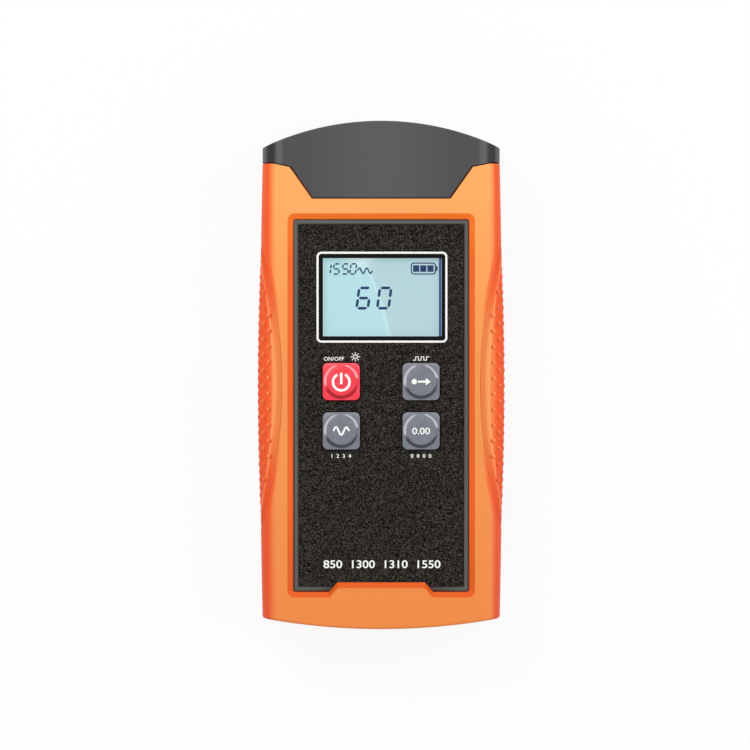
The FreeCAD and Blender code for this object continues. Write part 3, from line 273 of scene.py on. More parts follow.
@dataclass(frozen=True)
class CaseOrange:
    """Moulded orange with painted light: a painted sheen makes the flat face pale, brighter towards the top,
    and painted shade makes it deep where the walls turn away from it.

    A fade is where a change starts and where it ends, in millimetres. Heights are measured from the face.
    """

    name: str
    roughness: float = 0.42
    paint_shading: bool = False
    gloss: float = 0.3
    # Face colours: a painted sheen, brighter towards the top and darker towards the foot.
    upper: tuple = tint(247, 165, 91)
    middle: tuple = tint(236, 143, 73)
    lower: tuple = tint(232, 132, 62)
    # The walls' deep orange, with painted shade lower down and towards the foot.
    wall: tuple = tint(240, 88, 26)
    shaded_low_wall: tuple = tint(226, 78, 34)
    # Recess slope colours: painted light, brighter at the top, and painted shade at the foot.
    slope_light_and_shade: tuple = tint(248, 104, 26)
    slope_top_painted_light: tuple = tint(255, 122, 26)
    slope_low_painted_shade: tuple = tint(232, 96, 22)
    # Painted highlight and painted shade, for the grips' pads and bumps.
    pale: tuple = tint(255, 186, 126)
    dark: tuple = tint(204, 68, 18)
    face_level: float = 27.99
    middle_sheen_fade: tuple = (-70, 4)
    upper_sheen_fade: tuple = (0, 62)
    cloud_grain: float = 22
    cloud_reach: float = 9
    wall_shade_height: tuple = (-12, 2)
    wall_shade_tilt: float = 0.12
    slope_reach: float = 24.6
    slope_blur: float = 0.4
    slope_foot: float = -60.0
    slope_head: float = 42.5
    end_blur: float = 0.5
    slope_height: tuple = (-6, -4)
    slope_top_light_fade: tuple = (28, 38)
    slope_low_shade_fade: tuple = (-30, -52)
    recess_shade_height: tuple = (-0.4, 0)
    recess_shade_power: float = 3
    round_shade_fade: tuple = (29.6, 26.9)
    round_shade_height: tuple = (-1.3, -0.6)
    lean: float = 0.35
    leaf_shade_middle: float = -2.7
    leaf_shade_edge: float = 24.75
    leaf_shade_bend: float = 0.0037
    leaf_shade_blur: float = 0.08
    tip_shade_fade: tuple = (11, 30)
    tip_share: float = 0.85

    def climb(self, high: Signal, heights: tuple[float, float]) -> Signal:
        """Rise between two heights that are measured from the face."""
        return high.rise(self.face_level + heights[0], self.face_level + heights[1])

    def make(self) -> bpy.types.Material:
        """Build the material.

        The walls' painted shade goes over to the face's painted sheen by one of two shares. The soft one
        follows the case's round as painted shade and stays away from the grips' tips, where painted shade is
        kept on the grips' leaf, and the crisp one, inside the panel's recess, follows the height alone.

        Returns:
            The finished plastic.
        """
        recipe = Recipe(self.name)
        across, along, high = recipe.axes()
        away, from_middle = abs(across), along - self.leaf_shade_middle
        # Painted sheen on the face, brighter towards the top, its edge clouded by noise.
        clouded = along + recipe.noise(self.cloud_grain, 2, 3) * self.cloud_reach
        face = recipe.mix(clouded.rise(*self.middle_sheen_fade), self.lower, self.middle)
        face = recipe.mix(clouded.rise(*self.upper_sheen_fade), face, self.upper)
        # Painted shade: the wall darkens lower down and towards the foot.
        lit = self.climb(high + along * self.wall_shade_tilt, self.wall_shade_height)
        wall = recipe.mix(lit, self.shaded_low_wall, self.wall)
        within = (away.rise(self.slope_reach + self.slope_blur, self.slope_reach)
                  * along.rise(self.slope_foot - self.end_blur, self.slope_foot)
                  * along.rise(self.slope_head + self.end_blur, self.slope_head))
        # Painted light on the recess slope at the top and painted shade at its foot.
        slope_light_and_shade = recipe.mix(along.rise(*self.slope_top_light_fade), self.slope_light_and_shade, self.slope_top_painted_light)
        slope_light_and_shade = recipe.mix(along.rise(*self.slope_low_shade_fade), slope_light_and_shade, self.slope_low_painted_shade)
        wall = recipe.mix(within * self.climb(high, self.slope_height), wall, slope_light_and_shade)
        # Painted shade along the grips' leaf near its tips, where the wall's deep colour is kept.
        leaf = (away - from_middle * from_middle * self.leaf_shade_bend).rise(
            self.leaf_shade_edge - self.leaf_shade_blur, self.leaf_shade_edge + self.leaf_shade_blur)
        tip = abs(from_middle).rise(*self.tip_shade_fade) * self.tip_share
        # Painted shade on the case's round.
        soft = (abs(across - self.lean).rise(*self.round_shade_fade) * self.climb(high, self.round_shade_height)
                * (1 - leaf * tip))
        # Painted shade inside the panel's recess, by height alone.
        crisp = self.climb(high, self.recess_shade_height) ** self.recess_shade_power
        base = recipe.mix(soft + (crisp - soft) * within, wall, face)
        # On the grips, painted highlight and painted shade from the mesh's painted shading.
        if self.paint_shading:
            base = recipe.paint_shading(base, self.pale, self.dark)
        grain = recipe.noise(0.22, 3, 1)
        scuff = recipe.noise(5, 4, 9).rise(0.56, 0.76)
        return recipe.finish(
            Base_Color=base, Roughness=grain * 0.10 + scuff * 0.06 + (self.roughness - 0.05),
            Specular_IOR_Level=self.gloss, Normal=recipe.bump(grain, 0.015, 0.5))


@dataclass(frozen=True)
class CoverGrey:
    """Dark grey moulded cover with painted light: its side rounds carry a painted reflection, a pale band
    beside a dark one, it is painted darker towards the sides, and a painted highlight runs along its outer
    edge near the face.

    A band is where it comes and where it goes again, by the distance from the middle in millimetres.
    """

    # Painted shade takes the middle colour to the outer one at the sides; the pale and dark bands are a
    # painted reflection; the rim colour is a painted highlight.
    middle: tuple = tint(78, 78, 78)
    outer: tuple = tint(68, 68, 68)
    pale: tuple = tint(86, 86, 86)
    dark: tuple = tint(40, 40, 40)
    rim: tuple = tint(88, 88, 90)
    outer_shade_fade: tuple = (2, 22)
    pale_reflection_band: tuple = ((24.6, 25.8), (27.3, 26.4))
    dark_reflection_band: tuple = ((26.7, 27.7), (29.6, 28.7))
    rim_highlight_fade: tuple = (29.0, 29.9)
    rim_highlight_height: tuple = (16, 22)

    def make(self) -> bpy.types.Material:
        """Build the material.

        Returns:
            The finished plastic.
        """
        recipe = Recipe("cover_grey")
        across, _, high = recipe.axes()
        away = abs(across)
        base = recipe.mix(away.rise(*self.outer_shade_fade), self.middle, self.outer)
        for (comes, goes), colour in ((self.pale_reflection_band, self.pale), (self.dark_reflection_band, self.dark)):
            base = recipe.mix(away.rise(*comes) * away.rise(*goes), base, colour)
        base = recipe.mix(away.rise(*self.rim_highlight_fade) * high.rise(*self.rim_highlight_height), base, self.rim)
        grain = recipe.noise(0.25, 3, 2)
        cloud = recipe.noise(9, 3, 5)
        return recipe.finish(
            Base_Color=base, Roughness=grain * 0.12 + cloud * 0.06 + 0.4, Specular_IOR_Level=0.25,
            Normal=recipe.bump(grain, 0.02, 0.6))


@dataclass(frozen=True)
class Bead:
    """Grey bead of the panel frame, with painted shade at its foot and a painted highlight along its crest.
    """

    foot: tuple = tint(46, 46, 47)
    crest: tuple = tint(84, 84, 82)
    foot_level: float = 26.63
    height: float = 0.22

    def make(self) -> bpy.types.Material:
        """Build the material.

        Returns:
            The finished plastic.
        """
        recipe = Recipe("bead_grey")
        _, _, high = recipe.axes()
        grain = recipe.noise(0.3, 3, 2)
        # Painted highlight, paler towards the crest by height, over painted shade at the foot.
        crest = high.rise(self.foot_level, self.foot_level + self.height)
        return recipe.finish(
            Base_Color=recipe.mix(crest * (0.85 + grain * 0.3), self.foot, self.crest),
            Roughness=grain * 0.15 + 0.4, Specular_IOR_Level=0.3, Normal=recipe.bump(grain, 0.015, 0.5))


@dataclass(frozen=True)
class Moulding:
    """Plain moulded plastic or rubber of one colour, with a fine spark-eroded grain."""

    name: str
    colour: tuple
    worn: tuple
    roughness: float = 0.45
    grain: float = 0.25
    depth: float = 0.02
    gloss: float = 0.4

    def make(self) -> bpy.types.Material:
        """Build the material.

        Returns:
            The finished plastic.
        """
        recipe = Recipe(self.name)
        grain = recipe.noise(self.grain, 3, 2)
        cloud = recipe.noise(9, 3, 5)
        share = (cloud * 0.7 + grain * 0.3).rise(0.25, 0.75)
        return recipe.finish(
            Base_Color=recipe.mix(share, self.colour, self.worn),
            Roughness=grain * 0.12 + cloud * 0.06 + (self.roughness - 0.09),
            Specular_IOR_Level=self.gloss, Normal=recipe.bump(grain, self.depth, 0.6))


@dataclass(frozen=True)
class KeyPlastic:
    """Moulded key plastic, whose crown's flank carries a painted highlight towards the light and painted
    shade away from it.
    """

    name: str
    colour: tuple
    upper: tuple
    pale: tuple
    dark: tuple

    def make(self) -> bpy.types.Material:
        """Build the material.

        Returns:
            The finished plastic.
        """
        recipe = Recipe(self.name)
        grain = recipe.noise(0.25, 3, 2)
        cloud = recipe.noise(1.6, 3, 5)
        base = recipe.mix(cloud.rise(0.3, 0.75), self.colour, self.upper)
        return recipe.finish(
            Base_Color=recipe.paint_shading(base, self.pale, self.dark), Roughness=grain * 0.12 + 0.36,
            Specular_IOR_Level=0.35, Normal=recipe.bump(grain, 0.015, 0.5))


@dataclass(frozen=True)
class SparkleFilm:
    """Black printed film whose hard coat holds fine warm grey flecks, each a small cell of its own level."""

    ground: tuple = tint(1, 1, 1)
    middle: tuple = tint(6, 5, 4)
    bright: tuple = tint(81, 75, 67)
    fleck: float = 0.195

    def make(self) -> bpy.types.Material:
        """Build the material.

        Returns:
            The finished film.
        """
        recipe = Recipe("film_black")
        fleck = recipe.flecks(self.fleck, 2)
        level = fleck * 0.9 + recipe.noise(0.6, 2, 4) * 0.1
        base = recipe.ramp(level, [(0.10, self.ground), (0.5, self.middle), (0.95, self.bright)])
        return recipe.finish(
            Base_Color=base, Roughness=0.66 - fleck * 0.2, Specular_IOR_Level=0.06,
            Normal=recipe.bump(fleck, 0.02, 0.4))


@dataclass(frozen=True)
class Print:
    """A thin layer of screen-printed ink."""

    name: str
    colour: tuple
    roughness: float = 0.5
    gloss: float = 0.3

    def make(self) -> bpy.types.Material:
        """Build the material.

        Returns:
            The finished ink.
        """
        recipe = Recipe(self.name)
        weave = recipe.noise(0.2, 2, 6)
        dull = recipe.mix(0.12, self.colour, tint(120, 120, 120))
        return recipe.finish(
            Base_Color=recipe.mix(weave.rise(0.62, 0.85), self.colour, dull),
            Roughness=weave * 0.1 + (self.roughness - 0.05), Specular_IOR_Level=self.gloss,
            Normal=recipe.bump(weave, 0.01, 0.4))


@dataclass(frozen=True)
class DisplayGlass:
    """Backlit liquid crystal: pale cyan, with a painted window reflection and sheen lying across it, painted
    highlights along its lower and left edges and a painted dark strip of shade near its right edge.
    """

    # The first two colours are the two sides of a painted reflection, and the third is its painted bright
    # streak and sheen; the fourth is a painted edge highlight and the fifth a painted edge shade.
    left: tuple = tint(180, 222, 228)
    right: tuple = tint(179, 211, 217)
    painted_reflection: tuple = tint(214, 241, 240)
    edge: tuple = tint(214, 240, 244)
    edge_shade_strip: tuple = tint(44, 78, 138)
    edge_shade_start: float = 14.78
    edge_shade_end: float = 15.38
    foot: float = 9.8
    start: float = -14.9
    rim_highlight_fade: tuple = (0.35, 0.15)
    blur: float = 0.05
    reflection_lean: float = 0.34
    reflection_bend: float = 0.008
    reflection_middle: float = 20
    reflection_right: float = 6.6
    reflection_band: tuple = ((-1.2, -0.3), (0.2, -0.3))
    reflection_share: float = 0.35
    reflection_split_fade: tuple = (-0.4, 0.5)
    sheen_middle: tuple = (-5.5, 30.5)
    sheen_fall: tuple = (0.16, 0.20)
    sheen_cloud: float = 0.4
    sheen_fade: tuple = (1.45, 0.2)
    dimming: float = 0.64
    glow: float = 0.655

    def make(self) -> bpy.types.Material:
        """Build the material.

        Returns:
            The finished glass.
        """
        recipe = Recipe("lcd")
        across, along, _ = recipe.axes()
        from_middle = along - self.reflection_middle
        lean = (across + along * self.reflection_lean + from_middle * from_middle * self.reflection_bend
                - self.reflection_right)
        # Painted reflection: the paler left side, a bright streak beside its edge and a sheen at the top
        # left.
        base = recipe.mix(lean.rise(*self.reflection_split_fade), self.left, self.right)
        comes, goes = self.reflection_band
        base = recipe.mix(lean.rise(*comes) * lean.rise(*goes) * self.reflection_share, base, self.painted_reflection)
        sheen = (abs(across - self.sheen_middle[0]) * self.sheen_fall[0]
                 + abs(along - self.sheen_middle[1]) * self.sheen_fall[1]
                 + recipe.noise(4, 2, 1) * self.sheen_cloud)
        base = recipe.mix(sheen.rise(*self.sheen_fade), base, self.painted_reflection)
        # Painted highlights along the lower and left edges, and a painted dark strip of shade near the right
        # edge.
        outer, inner = self.rim_highlight_fade
        rim = along.rise(self.foot + outer, self.foot + inner).most(
            across.rise(self.start + outer, self.start + inner))
        base = recipe.mix(rim, base, self.edge)
        for place, colour in ((self.edge_shade_start, self.edge_shade_strip), (self.edge_shade_end, self.right)):
            base = recipe.mix(across.rise(place - self.blur, place + self.blur), base, colour)
        speck = recipe.noise(0.12, 1, 8)
        return recipe.finish(
            Base_Color=recipe.mix(self.dimming, base, tint(0, 0, 0)), Roughness=speck * 0.05 + 0.3,
            Specular_IOR_Level=0.2, Emission_Color=base, Emission_Strength=self.glow)


@dataclass(frozen=True)
class ClearWindow:
    """Clear acrylic: light goes straight through, and the surface gives its own gloss."""

    colour: tuple = (0.985, 0.99, 0.99, 1)
    refraction: float = 1.35
    roughness: float = 0.03
    smear: float = 0.08

    def make(self) -> bpy.types.Material:
        """Build the material.

        Returns:
            The finished acrylic.
        """
        recipe = Recipe("window_clear")
        smear = recipe.noise(7, 3, 3)
        through = recipe.node("ShaderNodeBsdfTransparent", inputs={"Color": self.colour})
        gloss = recipe.node("ShaderNodeBsdfGlossy", inputs={
            "Color": WHITE, "Roughness": smear * self.smear + self.roughness})
        leaving = recipe.node("ShaderNodeNewGeometry", output="Backfacing")
        share = recipe.node("ShaderNodeFresnel", inputs={"IOR": self.refraction}) * (1 - leaving)
        return recipe.close(recipe.node("ShaderNodeMixShader", inputs={0: share, 1: through, 2: gloss}))


@dataclass(frozen=True)
class Metal:
    """Bare or plated metal with fine drawn-out tool marks."""

    name: str
    colour: tuple
    roughness: float = 0.28

    def make(self) -> bpy.types.Material:
        """Build the material.

        Returns:
            The finished metal.
        """
        recipe = Recipe(self.name)
        lines = recipe.noise(0.18, 2, 1, (14, 1, 14))
        smudge = recipe.noise(2.5, 3, 4)
        darker = tuple(share * 0.72 for share in self.colour[:3]) + (1.0,)
        return recipe.finish(
            Base_Color=recipe.mix(smudge.rise(0.35, 0.75), self.colour, darker), Metallic=1.0,
            Roughness=lines * 0.12 + smudge * 0.12 + (self.roughness - 0.1),
            Normal=recipe.bump(lines, 0.01, 0.4))


@dataclass(frozen=True)
class CircuitBoard:
    """Green solder mask over copper runs."""

    mask: tuple = tint(18, 92, 52)
    copper: tuple = tint(46, 128, 74)

    def make(self) -> bpy.types.Material:
        """Build the material.

        Returns:
            The finished board.
        """
        recipe = Recipe("board_green")
        runs = recipe.node("ShaderNodeTexVoronoi", {"distance": "MANHATTAN", "feature": "F1"},
                           {"Vector": recipe.place((0.35, 0.35, 0.1)), "Scale": 1.0}, "Distance")
        track = (runs * 9).wave().rise(0.15, 0.55)
        weave = recipe.noise(0.3, 2, 3)
        return recipe.finish(
            Base_Color=recipe.mix(track, self.mask, self.copper), Roughness=weave * 0.15 + 0.28,
            Coat_Weight=0.3, Normal=recipe.bump(track, 0.035, 0.5))


@dataclass(frozen=True)
class CellJacket:
    """Printed jacket of a dry cell: a dark barrel with one plain band, and bare metal ends."""

    barrel: tuple = tint(38, 40, 46)
    band: tuple = tint(196, 150, 64)
    metal: tuple = tint(190, 192, 196)
    band_start: float = -17.0
    lower_end: float = -55.0
    upper_end: float = -6.8
    blur: float = 0.1

    def make(self) -> bpy.types.Material:
        """Build the material.

        Returns:
            The finished jacket.
        """
        recipe = Recipe("cell_jacket")
        _, along, _ = recipe.axes()
        blur = self.blur
        base = recipe.mix(along.rise(self.band_start - blur, self.band_start + blur), self.barrel, self.band)
        ends = along.rise(self.lower_end + blur, self.lower_end - blur).most(
            along.rise(self.upper_end - blur, self.upper_end + blur))
        scratch = recipe.noise(0.5, 3, 2)
        return recipe.finish(
            Base_Color=recipe.mix(ends, base, self.metal), Metallic=ends,
            Roughness=scratch * 0.1 + 0.26, Normal=recipe.bump(scratch, 0.008, 0.4))


# ---------------------------------------------------------------- mesh building

class Body(Enum):
    """The moving bodies that a piece can ride on."""

    CASE = "case"
    COVER = "cover"
    POWER = "power_key"
    LASER = "laser_key"
    WAVELENGTH = "wavelength_key"
    REFERENCE = "reference_key"
    DOOR = "door"


def add_piece(name: str, corners: np.ndarray, faces: list | np.ndarray, material: bpy.types.Material,
              body: Body, smooth: bool = True, solid: bool = False,
              tone: np.ndarray | None = None) -> bpy.types.Object:
    """Make one piece whose place is in its mesh, and let it ride on a body.

    Args:
        name: the piece's name.
        corners: its corners in millimetres.
        faces: corner numbers of each face.
        material: its finish.
        body: what it moves with.
        smooth: whether its faces are shaded smooth.
        solid: whether it is closed, so that its faces can be turned outwards by its volume.
        tone: the painted shading of each corner, a painted highlight towards 1 and painted shade towards -1.

    Returns:
        The piece.
    """
    mesh = bpy.data.meshes.new(name)
    mesh.from_pydata((np.asarray(corners, float) * MM).tolist(), [], faces.tolist()
                     if isinstance(faces, np.ndarray) else faces)
    mesh.validate()
    if solid:
        shape = bmesh.new()
        shape.from_mesh(mesh)
        bmesh.ops.recalc_face_normals(shape, faces=shape.faces)
        shape.to_mesh(mesh)
        shape.free()
    mesh.update()
    mesh.polygons.foreach_set("use_smooth", [smooth] * len(mesh.polygons))
    mesh.materials.append(material)
    if tone is not None:
        mesh.attributes.new(PAINTED_SHADING, "FLOAT", "POINT").data.foreach_set("value", np.asarray(tone, np.float32))
    piece = bpy.data.objects.new(name, mesh)
    bpy.context.scene.collection.objects.link(piece)
    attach(piece, body.value)
    log.info("%s: %d faces on %s", name, len(mesh.polygons), body.value)
    return piece


def grid_faces(rows: int, columns: int, closed: bool = False) -> np.ndarray:
    """Number the four corners of each cell of a grid of points, row by row.

    Args:
        rows: points along the first way.
        columns: points along the second way.
        closed: whether the last column joins the first.

    Returns:
        One row of four corner numbers a cell.
    """
    last = columns if closed else columns - 1
    row, column = np.meshgrid(np.arange(rows - 1), np.arange(last), indexing="ij")
    beside = (column + 1) % columns
    return np.stack([row * columns + column, row * columns + beside,
                     (row + 1) * columns + beside, (row + 1) * columns + column], axis=-1).reshape(-1, 4)


def mitres(path: np.ndarray, closed: bool, least: float) -> np.ndarray:
    """Find the way outwards at each point of a flat path, mitred at its corners.

    It is the sum of the two edges' normals over one plus their dot product.

    Args:
        path: (n, 2) points, counter-clockwise seen from above.
        closed: whether the path is a loop.
        least: the least that the sum is divided by, so that a sharp corner stays short.

    Returns:
        (n, 2) ways that reach one unit out from both edges.
    """
    ahead, behind = np.roll(path, -1, axis=0) - path, path - np.roll(path, 1, axis=0)
    if not closed:
        ahead[-1], behind[0] = behind[-1], ahead[0]
    first, second = (np.stack([edge[:, 1], -edge[:, 0]], axis=1) / np.linalg.norm(edge, axis=1, keepdims=True)
                     for edge in (ahead, behind))
    lean = 1 + (first * second).sum(axis=1, keepdims=True)
    return (first + second) / np.maximum(lean, least)


def along_path(path: np.ndarray, profile: np.ndarray, closed: bool = True) -> tuple[np.ndarray, np.ndarray]:
    """Carry a profile along a flat path, mitred at its corners.

    A profile point (out, up) lands at the path point plus out times the way outwards, at height up.

    Args:
        path: (n, 2) points, counter-clockwise seen from above.
        profile: (m, 2) points of out and up.
        closed: whether the path is a loop.

    Returns:
        The corners and the faces, outwards for a profile that runs from the outside over the top inwards.
    """
    flat = path[None, :, :] + profile[:, None, :1] * mitres(path, closed, least=0.2)[None, :, :]
    high = np.broadcast_to(profile[:, None, 1:], flat.shape[:2] + (1,))
    corners = np.concatenate([flat, high], axis=2).reshape(-1, 3)
    return corners, grid_faces(len(profile), len(path), closed)


def rounded(corners: list[tuple[float, float, float]], steps: int = 8) -> np.ndarray:
    """Round the corners of a flat outline.

    A round of radius r starts and ends r over the tangent of half the inside angle away from its corner. Its
    points swing about the centre from the one to the other, weighted by the sines of what is left and what
    is done of the turn.

    Args:
        corners: (x, y, radius) of each corner, counter-clockwise.
        steps: points on each round.

    Returns:
        The outline's points.
    """
    table = np.array(corners, float)
    here, radius = table[:, :2], table[:, 2:]
    back, forth = np.roll(here, 1, axis=0) - here, np.roll(here, -1, axis=0) - here
    back /= np.linalg.norm(back, axis=1, keepdims=True)
    forth /= np.linalg.norm(forth, axis=1, keepdims=True)
    inside = np.arccos(np.clip((back * forth).sum(axis=1, keepdims=True), -1, 1))
    reach = radius / np.tan(inside / 2)
    centre = here + (back + forth) / np.linalg.norm(back + forth, axis=1, keepdims=True) * (
        radius / np.sin(inside / 2))
    start, end = here + back * reach - centre, here + forth * reach - centre
    share = np.linspace(0, 1, steps)[None, :, None]
    swing = np.pi - inside[:, :, None]
    turn = np.where(swing > 1e-6, swing, 1.0)
    points = centre[:, None, :] + (np.sin((1 - share) * turn) * start[:, None, :]
                                   + np.sin(share * turn) * end[:, None, :]) / np.sin(turn)
    return points.reshape(-1, 2)


def coat(node: str, material: bpy.types.Material) -> None:
    """Give a CAD node a finish.

    Args:
        node: the node's name.
        material: the finish.
    """
    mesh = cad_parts[node].data
    mesh.materials.clear()
    mesh.materials.append(material)
    log.info("%s: %s", node, material.name)


@dataclass
class Grips:
    """The soft side grips: leaf-shaped pads that wrap round each side, with a ridge and rows of bumps."""

    rubber: bpy.types.Material
    tip_half_width: float = 30.7
    leaf_depth: float = 5.4
    edge_radius: float = 4.0
    thickness: float = 1.6
    seat_depth: float = 0.9
    groove: float = 0.16
    ridge_reach: float = 2.0
    ridge_height: float = 0.12
    sink: float = 0.20
    bump_pitch: float = 4.0
    bump_radius: float = 0.66
    bump_height: float = 0.18
    bump_step: float = 1.56
    bump_start: float = 3.45
    bump_root: float = 0.15
    bump_points: int = 10
    bump_rings: int = 3
    bump_light: tuple = (1.25, 0.35)
    palest: float = 0.7
    least_wall: float = 0.2
    least_lip: float = 0.05
    fade_start: float = 0.5
    field_start: float = 1.9
    field_share: float = 0.91
    field_power: float = 2.6
    field_margin: float = 0.4
    settle_reach: float = 1.6
    tip_share: float = 0.9995
    crowding: float = 0.55
    # Painted highlight along the ridge and painted shade beside it and at the edge: level, middle and width
    # of each bell.
    bells: tuple = ((0.60, 2.0, 0.30), (-0.46, 0.75, 0.80), (-0.30, 0.0, 0.16))
    sections: int = 73
    section_points: int = 61
    probe: float = 0.02

    def __post_init__(self) -> None:
        """Read the grip's box, which gives its length, its middle and how far it bows out."""
        low, high = box_of("side_grip_right")
        self.middle, self.half = (low[1] + high[1]) / 2, (high[1] - low[1]) / 2
        self.bulge = high[0] - self.tip_half_width
        self.depth = high[2]

    def dress(self) -> None:
        """Build both pads with their bumps."""
        for hand, side in (("right", 1), ("left", -1)):
            self.pad(hand, side)
            self.bumps(hand, side)

    def inner(self, along: np.ndarray) -> np.ndarray:
        """Find the leaf's inner edge.

        It is an arc through both tips whose middle is the leaf's depth further in: the radius r is half the
        length squared plus the depth squared, over twice the depth, and the edge falls back by r less the
        root of r squared less the distance from the middle squared.
        """
        radius = (self.half ** 2 + self.leaf_depth ** 2) / (2 * self.leaf_depth)
        fall = radius - np.sqrt(radius ** 2 - (along - self.middle) ** 2)
        return self.tip_half_width - self.leaf_depth + fall

    def outer(self, along: np.ndarray) -> np.ndarray:
        """Find how far the side bows out, an arc in the same way."""
        radius = (self.half ** 2 + self.bulge ** 2) / (2 * self.bulge)
        return self.tip_half_width + self.bulge - radius + np.sqrt(radius ** 2 - (along - self.middle) ** 2)

    def skin(self, along: np.ndarray, walked: np.ndarray) -> np.ndarray:
        """Find points on the pad's outside.

        A section runs flat from the leaf's edge, turns through a quarter circle, goes down the side, and
        comes back in the same way at the back. Walking a distance s along it from the front edge gives a
        point and the way outwards there. The point is then moved along that way: down by the groove at the
        leaf's edge, up by the ridge's height at the ridge, and down by the bumps' room beyond it.

        Args:
            along: Y of each point.
            walked: distance from the front edge along the section, of the same shape.

        Returns:
            X, Y and Z of each point.
        """
        inner, outer, radius = self.inner(along), self.outer(along), self.edge_radius
        centre, skipped, flat, total = self.section(along)
        from_end = np.minimum(walked, total - walked)
        back = walked > total / 2
        turned = np.clip((from_end - flat) / radius + skipped, 0, np.pi / 2)
        down = np.maximum(from_end - flat - radius * (np.pi / 2 - skipped), 0)
        across = np.where(from_end < flat, inner + from_end, centre + radius * np.sin(turned))
        high = self.depth - radius + radius * np.cos(turned) - down
        tilt = np.where(from_end < flat, 0.0, turned)
        room = np.clip((outer - inner) / (self.leaf_depth + self.bulge), 0, 1)
        rise = smooth(from_end / self.ridge_reach)
        settle = smooth((from_end - self.ridge_reach) / self.settle_reach)
        lift = (-self.groove + (self.groove + self.ridge_height) * rise
                - (self.ridge_height + self.sink) * settle) * np.sqrt(room)
        across, high = across + lift * np.sin(tilt), high + lift * np.cos(tilt)
        return np.stack([across, along, np.where(back, np.maximum(self.depth - high, 0), high)], axis=-1)

    def section(self, along: np.ndarray) -> tuple[np.ndarray, np.ndarray, np.ndarray, np.ndarray]:
        """Measure sections across the pad.

        Args:
            along: Y of each section.

        Returns:
            X of its rounds' centre, the angle of a round that the leaf's edge skips, how wide its flat
            stretch is, and its whole length from the front edge to the back one.
        """
        inner, centre, radius = self.inner(along), self.outer(along) - self.edge_radius, self.edge_radius
        skipped = np.arcsin(np.clip((inner - centre) / radius, 0, 1))
        flat = np.maximum(centre - inner, 0)
        return centre, skipped, flat, 2 * flat + 2 * radius * (np.pi / 2 - skipped) + self.depth - 2 * radius

    def pad(self, hand: str, side: int) -> None:
        """Build one pad as a grid of closed sections that narrow to a point at both tips.

        The stations along the length follow a cosine, so that they crowd at the tips. Each section is the
        outside, walked with more points near its edges, and then the seat's inside back to the front. The
        painted shading, a painted highlight along the ridge and painted shade beside it and at the edge, is a
        sum of bells of the distance from the nearer edge, and fades where a section is short.

        Args:
            hand: the node's name ending.
            side: 1 for the right pad and -1 for the left.
        """
        turn = np.linspace(0, np.pi, self.sections)
        along = self.middle + self.half * self.tip_share * np.cos(turn)
        share = np.linspace(0, 1, self.section_points)
        share = share - np.sin(4 * np.pi * share) / (4 * np.pi) * self.crowding
        y = np.repeat(along[:, None], len(share), axis=1)
        whole = self.section(along)[3][:, None]
        walked = share[None, :] * whole
        outside = self.skin(y, walked)
        inner, seat = self.inner(along), self.tip_half_width - self.seat_depth
        seat = np.maximum(np.minimum(seat, self.outer(along) - self.least_wall), inner)
        top = np.minimum(self.depth - self.thickness, outside[:, 0, 2] - self.least_lip)
        inside = np.stack([
            np.stack([x, along, z], axis=-1) for x, z in
            ((inner, self.depth - top), (seat, self.depth - top), (seat, top), (inner, top))], axis=1)
        points = np.concatenate([outside, inside], axis=1)
        rows, columns = points.shape[:2]
        ends = [list(range(columns)), list(range((rows - 1) * columns, rows * columns))[::-1]]
        corners = points.reshape(-1, 3) * np.array([side, 1, 1])
        near = np.minimum(walked, whole - walked)
        shade = sum(level * np.exp(-((near - middle) / width) ** 2) for level, middle, width in self.bells)
        shade = shade * np.clip(whole / 2 / self.ridge_reach - self.fade_start, 0, 1)
        tone = np.concatenate([shade, np.zeros((rows, inside.shape[1]))], axis=1).ravel()
        faces = grid_faces(rows, columns, closed=True).tolist() + ends
        pad = add_piece(f"grip_pad_{hand}", corners, faces, self.rubber, Body.CASE,
                        solid=True, tone=tone)
        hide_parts(f"side_grip_{hand}")

    def rows(self) -> tuple[np.ndarray, np.ndarray]:
        """Lay out the bumps.

        Column k starts a step further round than column k - 1, and its bumps are a pitch apart, shifted by
        half a pitch in every other column. A column reaches to where an ellipse round the grip's middle
        leaves it room, so the field is short at the front and the back and long on the side.

        Returns:
            Y of each bump and the distance walked to it.
        """
        whole = float(self.section(np.array([self.middle]))[3][0])
        count = int((whole - 2 * self.bump_start) / self.bump_step) // 2 * 2 + 1
        step = (whole - 2 * self.bump_start) / (count - 1)
        across = int(self.half / self.bump_pitch) + 2
        pitches = np.arange(-across, across + 1) * self.bump_pitch + self.middle + self.field_start
        columns = []
        for column in range(count):
            walked = self.bump_start + column * step
            share = abs(walked - whole / 2) / (whole / 2)
            reach = (self.half * self.field_share * math.sqrt(max(1 - share ** self.field_power, 0))
                     + self.field_margin)
            spots = pitches + self.bump_pitch / 2 * (column % 2)
            spots = spots[np.abs(spots - self.middle) < reach]
            columns.append(np.column_stack([spots, walked - (whole - self.section(spots)[3]) / 2]))
        table = np.vstack(columns)
        return table[:, 0], table[:, 1]

    def bumps(self, hand: str, side: int) -> None:
        """Stand low round bumps on one pad, in staggered columns.

        Args:
            hand: the piece's name ending.
            side: 1 for the right pad and -1 for the left.
        """
        along, walked = self.rows()
        here = self.skin(along, walked)
        clear = here[:, 2] > self.bump_radius
        along, walked, here = along[clear], walked[clear], here[clear]
        ahead = self.skin(along, walked + self.probe) - self.skin(along, walked - self.probe)
        beside = self.skin(along + self.probe, walked) - self.skin(along - self.probe, walked)
        mirror = np.array([side, 1, 1])
        corners, faces, tone = self.caps(here * mirror, np.cross(ahead, beside) * mirror, side)
        add_piece(f"grip_bumps_{hand}", corners, faces, self.rubber, Body.CASE, tone=tone)

